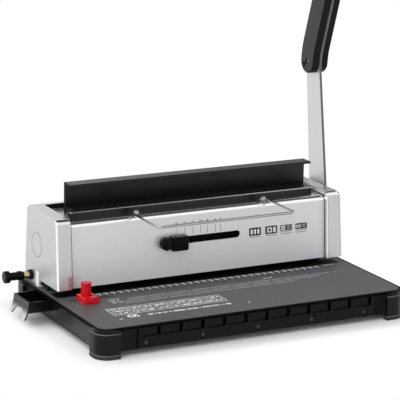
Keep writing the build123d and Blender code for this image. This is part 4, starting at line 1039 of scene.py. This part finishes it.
@dataclass
class CrossHeads:
    """Pan heads with a cross recess, set on every screw of a CAD node."""

    node: str
    body: str
    finish: Finish
    slot: str
    outward: Vector
    radius: float = 2.8 * MM
    height: float = 1.6 * MM
    sides: int = 20
    recess_share: float = 1.15
    blade_share: float = 0.3
    rim_share: float = 0.6
    crown_share: float = 0.72

    def tree(self) -> bpy.types.NodeTree:
        """Geometry tree for one recessed head on each seed point.

        Returns:
            The tree.
        """
        tree = GrowTree("cross_heads_" + self.node, {
            "Radius": ("NodeSocketFloat", self.radius),
            "Height": ("NodeSocketFloat", self.height),
            "Recess": ("NodeSocketFloat", self.radius * self.recess_share),
            "Blade": ("NodeSocketFloat", self.radius * self.blade_share),
            "Turn": ("NodeSocketRotation", (0.0, 0.0, 0.0))})
        radius, height = tree.size("Radius"), tree.size("Height")
        recess, blade = tree.size("Recess"), tree.size("Blade")
        rim = tree.add("GeometryNodeMeshCylinder", inputs={
            "Vertices": self.sides, "Radius": radius, "Depth": height * self.rim_share})
        crown = tree.add("GeometryNodeMeshCone", inputs={
            "Vertices": self.sides, "Radius Top": radius * self.crown_share,
            "Radius Bottom": radius, "Depth": height * (1 - self.rim_share)})
        head = tree.add("GeometryNodeMeshBoolean", {"operation": "UNION"}, {"Mesh 2": [
            tree.moved(shape.outputs["Mesh"], tree.vector(0.0, 0.0, height * share))
            for shape, share in ((rim, self.rim_share / 2), (crown, self.rim_share))]})
        cuts = [tree.cube(tree.vector(*size), tree.vector(0.0, 0.0, height))
                for size in ((recess, blade, height), (blade, recess, height))]
        cut = tree.add("GeometryNodeMeshBoolean", {"operation": "DIFFERENCE"}, {
            "Mesh 1": head.outputs["Mesh"], "Mesh 2": cuts})
        spread = tree.add("GeometryNodeInstanceOnPoints", inputs={
            "Points": tree.entry.outputs["Geometry"], "Instance": cut.outputs["Mesh"],
            "Rotation": tree.size("Turn")})
        return tree.close(spread.outputs["Instances"])

    def seeds(self) -> list[Vector]:
        """Feet of the screws, one at each separate solid of the node.

        Returns:
            The middle of each solid's inner end.
        """
        work = bmesh.new()
        work.from_mesh(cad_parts[self.node].data)
        bmesh.ops.remove_doubles(work, verts=work.verts, dist=MERGE_GAP)
        left, found = set(work.verts), []
        while left:
            group, edge = set(), [left.pop()]
            while edge:
                vertex = edge.pop()
                group.add(vertex)
                for link in vertex.link_edges:
                    other = link.other_vert(vertex)
                    if other in left:
                        left.discard(other)
                        edge.append(other)
            centre = sum((v.co for v in group), Vector()) / len(group)
            reach = min((v.co - centre).dot(self.outward) for v in group)
            found.append(centre + self.outward * reach)
        work.free()
        return sorted(found, key=lambda point: tuple(point))

    def build(self) -> None:
        """Sets the heads and lets them stand for the node."""
        turn = Vector((0, 0, 1)).rotation_difference(self.outward).to_euler()
        obj = grow(self.node + "_heads", self.tree(), self.finish,
                   {"Turn": tuple(turn)}, self.seeds())
        seat(obj, self.body, nodes=[self.node])


@dataclass
class CornerBlocks:
    """Bent blocks round the base's four corners: feet below, guards above them."""

    name: str
    finish: Finish
    slot: str
    bottom: float
    top: float
    nodes: tuple[str, ...] = ()
    reach: float = 24.2 * MM
    radius: float = 14.5 * MM
    proud: float = 0.75 * MM
    thick: float = 7.0 * MM
    edge: float = 1.0 * MM
    edge_steps: int = 3
    limit: float = 35.0
    steps: int = 8
    worn: Point2 = (0.2, 0.9)

    def outline(self) -> list[Point2]:
        """Plan of one block, measured inwards from the base's square corner.

        Returns:
            The corners of the bent strip, in metres.
        """
        turns = [math.pi * (1 + 0.5 * (1 - k / self.steps)) for k in range(self.steps + 1)]
        outer, inner = (
            [(self.radius + bend * math.cos(turn), self.radius + bend * math.sin(turn))
             for turn in turns]
            for bend in (self.radius + self.proud, self.radius - self.thick))
        return [(self.reach, -self.proud), *outer, (-self.proud, self.reach),
                (self.thick, self.reach), *reversed(inner), (self.reach, self.thick)]

    def build(self) -> None:
        """Raises the four blocks, rounds their edges, paints a highlight on the rounding and
        seats them.
        """
        low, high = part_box("base_frame")
        mesh = bpy.data.meshes.new(self.name)
        with editing(mesh) as work:
            for side_x, side_y in ((-1, -1), (1, -1), (1, 1), (-1, 1)):
                corner_x = low[0] if side_x < 0 else high[0]
                corner_y = low[1] if side_y < 0 else high[1]
                rows = [[work.verts.new((corner_x - side_x * u, corner_y - side_y * v, z))
                         for u, v in self.outline()] for z in (self.bottom, self.top)]
                for row in rows:
                    work.faces.new(row)
                for k in range(len(rows[0])):
                    after = (k + 1) % len(rows[0])
                    work.faces.new((rows[0][k], rows[0][after], rows[1][after], rows[1][k]))
            bmesh.ops.recalc_face_normals(work, faces=work.faces)
        smoothed(mesh, self.limit)
        mesh.materials.append(self.finish.material())
        obj = add_object(self.name, mesh)
        rounded(obj, self.edge, self.edge_steps, self.limit)
        # Painted highlight on the sloping faces of the rounded edges.
        paint_faces(obj, GUARD_EDGE_HIGHLIGHT,
                    lambda face: self.worn[0] < face.normal.z < self.worn[1])
        seat(obj, "machine", nodes=self.nodes)


@dataclass
class BaseUnit:
    """Tray, table, fascia, drawer, corner feet and corner guards."""

    plate_edge: float = 0.25 * MM
    moulded_edge: float = 0.3 * MM
    rim_depth: float = 3.4 * MM
    rim_level: float = -0.1
    pull_depth: float = 12.0 * MM
    pull_lean: float = 0.6
    gap: Bar = (0.6, 18.6, 1.8, 22.0)
    foot_top: float = 5.0 * MM
    guard_low: float = 5.4 * MM
    guard_top: float = 27.6 * MM
    screw_height: float = 1.28 * MM

    def build(self) -> None:
        """Softens and dresses the base's nodes."""
        for piece in (
                Softened("base_frame", "machine", TRAY, "black_moulding", 0.0, joined=False,
                         recolour=self._rim),
                Softened("base_plate", "machine", TABLE, "dark_satin_steel",
                         self.plate_edge),
                Softened("front_fascia", "machine", FASCIA, "gloss_black",
                         self.moulded_edge),
                Softened("chip_drawer", "drawer", DRAWER, "drawer_black",
                         self.moulded_edge, recolour=self._pull)):
            piece.build()
        Print("fascia_gap", RIM_SHADE_AND_GAP, on_fascia).bars(self.gap).build()
        CornerBlocks("corner_feet", RUBBER, "foot_rubber", 0.0, self.foot_top,
                     ("rubber_feet",)).build()
        CornerBlocks("corner_guards", GUARD, "black_moulding", self.guard_low,
                     self.guard_top).build()
        CrossHeads("fascia_screws", "machine", SCREW, "dark_screw", Vector((0, -1, 0)),
                   height=self.screw_height).build()

    def _rim(self, obj: bpy.types.Object) -> None:
        """Paints the level rim round the table a black without reflection, as painted shade."""
        paint_faces(obj, RIM_SHADE_AND_GAP, lambda face: face.center.z > TABLE_Z - self.rim_depth
                    and face.normal.z > self.rim_level)

    def _pull(self, obj: bpy.types.Object) -> None:
        """Paints the outer face of the drawer's pull as bright metal that darkens towards its
        top: painted reflection.
        """
        reach = min(vertex.co.x for vertex in obj.data.vertices) + self.pull_depth
        paint_faces(obj, PULL_REFLECTION, lambda face: face.normal.x < -self.pull_lean
                    and face.center.x < reach)


@dataclass
class BodyUnit:
    """Panel, covers, caps and margin tab, with the book rest's lugs and wire.

    A lean is the least part of a face's normal along an axis, and a span is a range of it.
    """

    edge: float = 0.3 * MM
    cap_edge: float = 0.25 * MM
    tab_edge: float = 0.5 * MM
    deck_from: float = 0.1
    deck_level: float = 0.97
    bend_lean: float = 0.6
    bend_span: Point2 = (0.18, 0.7)
    top_lean: float = 0.1
    top_span: Point2 = (0.15, 0.99)
    side_lean: float = 0.85
    step_lean: float = 0.8
    corner_lean: float = 0.35
    corner_front: float = 0.25
    round: float = 5.5 * MM
    round_shares: tuple[float, ...] = (0.0, 0.35, 0.7)
    cut_gap: float = 1e-6
    limit: float = 32.0
    foot_out: float = 1.4 * MM
    draft: float = 2.6 * MM

    def build(self) -> None:
        """Softens and dresses the body's nodes."""
        for piece in (
                Softened("front_panel", "machine", SILVER, "silver_paint", self.edge,
                         recolour=self._front),
                Softened("rear_cover", "machine", SILVER, "silver_paint", self.edge,
                         recolour=self._deck),
                Softened("left_cap", "machine", SILVER_CAP, "silver_moulding",
                         self.cap_edge, recolour=self._left_cap),
                Softened("right_cap", "machine", SILVER_CAP, "silver_moulding",
                         self.cap_edge, recolour=self._right_cap),
                Softened("cap_plug", "machine", SILVER_SIDE, "silver_moulding", self.edge),
                Softened("bail_lugs", "machine", LUG, "silver_paint", self.edge),
                Softened("wire_bail", "bail", CHROME, "chrome_wire", 0.0),
                Softened("margin_tab", "margin_bar", WHITE, "white_nylon", self.tab_edge)):
            piece.build()
        CrossHeads("rear_screws", "machine", ZINC, "zinc_steel", Vector((0, 1, 0))).build()

    def _front(self, obj: bpy.types.Object) -> None:
        """Dresses the front panel's shelf and the upper part of its bend in the deck finish,
        and paints a highlight on the bend's lower part.

        Args:
            obj: the softened piece.
        """
        low, high = self.bend_span
        self._deck(obj)
        # Painted highlight on the lower part of the bend.
        paint_faces(obj, SILVER_HIGHLIGHT, lambda face: face.normal.y < -self.bend_lean
                    and low < face.normal.z < high and face.center.z > self.deck_from)
        paint_faces(obj, SILVER_DECK, lambda face: face.normal.y < -self.top_lean
                    and face.normal.z >= high and face.center.z > self.deck_from)

    def _left_cap(self, obj: bpy.types.Object) -> None:
        """Dresses the left cap: satin outer side, edges with a painted highlight."""
        paint_faces(obj, SILVER_SIDE, lambda face: face.normal.x < -self.side_lean)
        self._cap_edges(obj)

    def _right_cap(self, obj: bpy.types.Object) -> None:
        """Drafts the right cap's outer side, rounds its top corner, dresses its edges and
        paints shade on its outer front edge.

        Args:
            obj: the softened piece.
        """
        low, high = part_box("right_cap")
        tall, middle = high[2] - low[2], (low[0] + high[0]) / 2
        inner = Vector((high[0] - self.round, high[2] - self.round))
        with editing(obj.data) as work:
            for share in self.round_shares:
                for way in (Vector((1, 0, 0)), Vector((0, 0, 1))):
                    cut = Vector((inner.x, 0, inner.y)) + way * self.round * share
                    bmesh.ops.bisect_plane(
                        work, geom=[*work.verts, *work.edges, *work.faces],
                        dist=self.cut_gap, plane_co=cut, plane_no=way)
            for vertex in work.verts:
                place = vertex.co
                past = Vector((place.x, place.z)) - inner
                if min(past) > 0:
                    past *= max(past) / past.length
                    place.x, place.z = inner.x + past.x, inner.y + past.y
                if place.x > middle:
                    place.x += self.foot_out - (place.z - low[2]) / tall * self.draft
        obj.data.set_sharp_from_angle(angle=math.radians(self.limit))
        obj.modifiers.new("Even", "WEIGHTED_NORMAL").keep_sharp = True
        baked(obj)
        self._cap_edges(obj)
        # Painted shade on the rounded outer front edge.
        paint_faces(obj, SILVER_EDGE_SHADE, lambda face: face.normal.x > self.corner_lean
                    and abs(face.normal.y) > self.corner_front)

    def _cap_edges(self, obj: bpy.types.Object) -> None:
        """Dresses a cap's low wall over the deck, its upright edge with a painted highlight,
        and its top bend.

        Args:
            obj: the softened piece.
        """
        low, high = self.top_span
        paint_faces(obj, SILVER_MATT, lambda face: face.normal.x < -self.step_lean
                    and face.center.z > self.deck_from)
        # Painted highlight on the cap's upright front edge.
        paint_faces(obj, SILVER_HIGHLIGHT, lambda face: face.normal.y < -self.corner_front
                    and face.normal.x < -self.corner_lean)
        paint_faces(obj, SILVER_DECK, lambda face: face.normal.y < -self.top_lean
                    and low < face.normal.z < high
                    and abs(face.normal.x) < self.corner_lean)

    def _deck(self, obj: bpy.types.Object) -> None:
        """Gives the level top faces the smoother rolled finish."""
        paint_faces(obj, SILVER_DECK, lambda face: face.normal.z > self.deck_level
                    and face.center.z > self.deck_from)


@dataclass
class CloserUnit:
    """Upper jaw and anvil, with a painted highlight along the anvil's front edge."""

    jaw_edge: float = 0.35 * MM
    anvil_edge: float = 0.32 * MM
    end_lean: float = 0.8
    worn_span: Point2 = (0.2, 0.95)
    worn_width: float = 1.5 * MM

    def build(self) -> None:
        """Softens and dresses the closer's nodes."""
        Softened("upper_jaw", "jaw", JAW, "black_steel", self.jaw_edge,
                 recolour=self._ends).build()
        Softened("anvil_bar", "machine", JAW, "black_steel", self.anvil_edge,
                 recolour=self._worn).build()
        CrossHeads("jaw_screws", "jaw", ZINC, "zinc_steel", Vector((0, 1, 0))).build()

    def _ends(self, obj: bpy.types.Object) -> None:
        """Gives the jaw's sawn ends a matt black."""
        paint_faces(obj, TRIM, lambda face: abs(face.normal.x) > self.end_lean)

    def _worn(self, obj: bpy.types.Object) -> None:
        """Paints a bright steel highlight along the anvil's upper front edge.

        Args:
            obj: the softened piece.
        """
        low, high = self.worn_span
        top = max(vertex.co.z for vertex in obj.data.vertices) - self.worn_width
        front = min(vertex.co.y for vertex in obj.data.vertices) + self.worn_width
        paint_faces(obj, ANVIL_EDGE_HIGHLIGHT, lambda face: low < -face.normal.y < high
                    and face.normal.z > low and face.center.z > top
                    and face.center.y < front)


@dataclass
class HandleUnit:
    """Arm, grip scales and hub bolt."""

    edge: float = 0.4 * MM
    edge_lean: float = 0.4
    face_lean: float = 0.93
    face_area: float = 1e-4

    def build(self) -> None:
        """Softens and dresses the handle's nodes."""
        Softened("handle_arm", "handle", ARM, "bright_steel", self.edge,
                 recolour=self._edges).build()
        Softened("hub_bolt", "handle", ZINC, "zinc_steel", self.edge).build()
        for node in ("grip_left", "grip_right"):
            Softened(node, "handle", GRIP, "grip_grey", 0.0, recolour=self._face).build()

    def _edges(self, obj: bpy.types.Object) -> None:
        """Paints the arm's edges a much darker steel, as painted shade."""
        paint_faces(obj, ARM_EDGE_SHADE, lambda face: abs(face.normal.x) < self.edge_lean)

    def _face(self, obj: bpy.types.Object) -> None:
        """Gives a scale's flat outer face its lighter grain."""
        paint_faces(obj, GRIP_FACE, lambda face: abs(face.normal.x) > self.face_lean
                    and face.area > self.face_area)


@dataclass
class ControlUnit:
    """Selector, side stop and margin adjuster."""

    slider_edge: float = 0.5 * MM
    stop_edge: float = 0.6 * MM
    stop_steps: int = 3
    knob_edge: float = 0.25 * MM
    spacer_edge: float = 0.2 * MM
    flange_edge: float = 0.3 * MM
    top_lean: float = 0.6

    def build(self) -> None:
        """Softens and dresses the controls' nodes."""
        for piece in (
                Softened("selector_slider", "selector", SELECTOR, "gloss_black",
                         self.slider_edge, recolour=self._top),
                Softened("selector_lock", "selector_knob", SELECTOR, "gloss_black",
                         self.knob_edge),
                Softened("paper_stop", "side_stop", RED, "red_plastic", self.stop_edge,
                         self.stop_steps),
                Softened("stop_knob", "side_stop_knob", RED, "red_plastic", self.knob_edge),
                Softened("margin_knob", "margin_adjuster", SELECTOR, "gloss_black",
                         self.knob_edge),
                Softened("margin_spacer", "margin_adjuster", BRASS, "brass",
                         self.spacer_edge),
                Softened("margin_flange", "machine", TRIM, "black_trim",
                         self.flange_edge)):
            piece.build()

    def _top(self, obj: bpy.types.Object) -> None:
        """Paints the selector's upper faces lighter, as painted light."""
        paint_faces(obj, SELECTOR_TOP_LIGHT, lambda face: face.normal.z > self.top_lean)


@dataclass
class Insides:
    """The works inside the body, which keep their CAD meshes, and the springs."""

    finishes: tuple[tuple[Finish, tuple[str, ...]], ...] = (
        (ZINC, ("bottom_pan", "side_frames", "grip_screws", "drawer_rails", "stop_keeper")),
        # These parts are black oxide; their black also keeps the throat and the selector's slot
        # dark, in part painted shade.
        (OXIDE, ("die_plate", "punch_carriage", "punch_guide", "closing_stop", "back_stop")),
        (GROUND, ("handle_shaft", "jaw_forks", "stop_finger", "jaw_cranks", "punch_gears",
                  "punch_racks", "pin_retainer", "punch_pins", "spring_posts",
                  "margin_axle_rod")),
        (BRONZE, ("shaft_bushes",)),
        (SILVER_CAP, ("deck_plate",)),
        (TRIM, ("recess_trim",)))
    stroke: float = 12.6 * MM

    def build(self) -> None:
        """Gives each inner CAD node its finish, and gives the springs a mesh of their own."""
        for finish, nodes in self.finishes:
            for node in nodes:
                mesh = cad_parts[node].data
                mesh.materials.clear()
                mesh.materials.append(finish.material())
                LOG.info("CAD node %s in %s", node, finish.name)
        springs = Softened("return_springs", "machine", ZINC, "spring_steel", 0.0).build()
        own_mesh(springs)


@dataclass(frozen=True)
class Softbox:
    """One rectangular soft light."""

    name: str
    place: tuple[float, float, float]
    aim: tuple[float, float, float]
    size: Point2
    power: float
    mirrored: bool = True

    def hang(self) -> None:
        """Hangs the light and turns it to its aim."""
        data = bpy.data.lights.new(self.name, "AREA")
        data.shape = "RECTANGLE"
        data.size, data.size_y = self.size
        data.energy = self.power
        lamp = bpy.data.objects.new(self.name, data)
        lamp.location = self.place
        turn = (Vector(self.place) - Vector(self.aim)).to_track_quat("Z", "Y")
        lamp.rotation_euler = turn.to_euler()
        lamp.visible_glossy = self.mirrored
        bpy.context.scene.collection.objects.link(lamp)


@dataclass
class Studio:
    """Pale floor, soft lights and the camera at the photograph's angle.

    The sky is white to the camera and dimmer to soft light. Mirrored, it is white round the
    horizon and falls to its overhead strength, with a darker flag at the right rear.
    """

    camera_place: tuple[float, float, float] = (BASE_X - 1.0093, -1.8822, 0.6608)
    azimuth: float = -27.87
    elevation: float = 14.07
    roll: float = 1.21
    lens: float = 182.16
    sensor: float = 36.0
    clip: Point2 = (0.1, 30.0)
    floor_half: float = 3.0
    floor_colour: tuple[float, ...] = (0.93, 0.93, 0.93, 1.0)
    white: tuple[float, ...] = (1.0, 1.0, 1.0, 1.0)
    clear: Point2 = (0.008, 0.032)
    ambient: float = 0.42
    slant: float = 0.5
    overhead: float = 0.06
    dome: Point2 = (0.71, 0.84)
    flag: float = 0.6
    flag_x: Point2 = (0.34, 0.54)
    flag_y: Point2 = (0.0, 0.3)
    lights: tuple[Softbox, ...] = (
        Softbox("key_softbox", (-1.3, -1.5, 1.9), (0.0, 0.0, 0.1), (2.2, 2.2), 30.0),
        Softbox("top_softbox", (-0.7, 0.4, 2.2), (0.0, 0.0, 0.0), (3.6, 3.0), 26.0, False),
        Softbox("left_softbox", (-2.2, -0.1, 1.1), (-0.1, 0.0, 0.1), (2.2, 1.6), 14.5),
        Softbox("right_softbox", (1.9, -0.6, 1.2), (0.1, 0.0, 0.1), (2.0, 1.8), 2.5))

    def build(self) -> None:
        """Makes the whole studio."""
        self._camera()
        self._floor()
        self._world()
        for light in self.lights:
            light.hang()
        bpy.context.scene.view_settings.view_transform = "Standard"

    def _camera(self) -> None:
        """Sets the camera where the photograph was taken from."""
        a, e, r = (math.radians(v) for v in (self.azimuth, self.elevation, self.roll))
        back = Vector((math.sin(a) * math.cos(e), -math.cos(a) * math.cos(e), math.sin(e)))
        right = Vector((0, 0, 1)).cross(back).normalized()
        up = back.cross(right)
        right, up = (right * math.cos(r) + up * math.sin(r),
                     up * math.cos(r) - right * math.sin(r))
        data = bpy.data.cameras.new("photo_camera")
        data.lens = self.lens
        data.sensor_width = self.sensor
        data.clip_start, data.clip_end = self.clip
        camera = bpy.data.objects.new("photo_camera", data)
        turn = Matrix((right, up, back)).transposed().to_4x4()
        camera.matrix_world = Matrix.Translation(self.camera_place) @ turn
        bpy.context.scene.collection.objects.link(camera)
        bpy.context.scene.camera = camera

    def _floor(self) -> None:
        """Lays the floor: it shows the shadow near the machine and is white beyond."""
        half = self.floor_half
        mesh = bpy.data.meshes.new("studio_floor")
        mesh.from_pydata([(-half, -half, 0), (half, -half, 0), (half, half, 0),
                          (-half, half, 0)], [], [(0, 1, 2, 3)])
        material = bpy.data.materials.new("pale_floor")
        tree = Tree.of(material)
        beyond = []
        for axis, low, high in zip(tree.axes(tree.coordinates("Object"))[:2],
                                   *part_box("base_frame")):
            past = (axis - (low + high) / 2).math("ABSOLUTE") - (high - low) / 2
            beyond.append(past.math("MAXIMUM", 0.0))
        reach = (beyond[0] * beyond[0] + beyond[1] * beyond[1]).math("SQRT")
        matt = tree.add("ShaderNodeBsdfDiffuse", inputs={"Color": self.floor_colour})
        white = tree.add("ShaderNodeEmission", inputs={"Color": self.white})
        mixed = tree.add("ShaderNodeMixShader", inputs={
            0: tree.rays("Camera", "Glossy", "Transmission") * reach.band(*self.clear),
            1: matt.outputs["BSDF"], 2: white.outputs["Emission"]})
        tree.add("ShaderNodeOutputMaterial", inputs={"Surface": mixed.outputs["Shader"]})
        mesh.materials.append(material)
        add_object("studio_floor", mesh)

    def _world(self) -> None:
        """Lights from all round, white to the camera and dimmer overhead in reflections."""
        world = bpy.data.worlds.new("soft_world")
        tree = Tree.of(world)
        across, along, up = tree.axes(tree.coordinates("Generated"))
        seen, mirrored = tree.rays("Camera", "Transmission"), tree.rays("Glossy")
        flag = across.band(*self.flag_x) * along.band(*self.flag_y) * self.flag
        dome = (1.0 - flag) * (1.0 - up.band(*self.dome) * (1.0 - self.overhead))
        soft = (1.0 - across * self.slant) * self.ambient
        strength = soft + seen * (1.0 - soft) + mirrored * (dome - soft)
        sky = tree.add("ShaderNodeBackground", inputs={
            "Color": self.white, "Strength": strength})
        tree.add("ShaderNodeOutputWorld", inputs={"Surface": sky.outputs["Background"]})
        bpy.context.scene.world = world


def main() -> None:
    """Builds the sub-assemblies in order."""
    logging.basicConfig(level=logging.INFO, format="%(name)s: %(message)s")
    parts = (Studio(), BaseUnit(), BodyUnit(), CloserUnit(), HandleUnit(), ControlUnit(),
             Insides(), TablePrint(), PanelPrint())
    for part in parts:
        part.build()
        LOG.info("built %s", type(part).__name__)


if __name__ == "__main__":
    main()
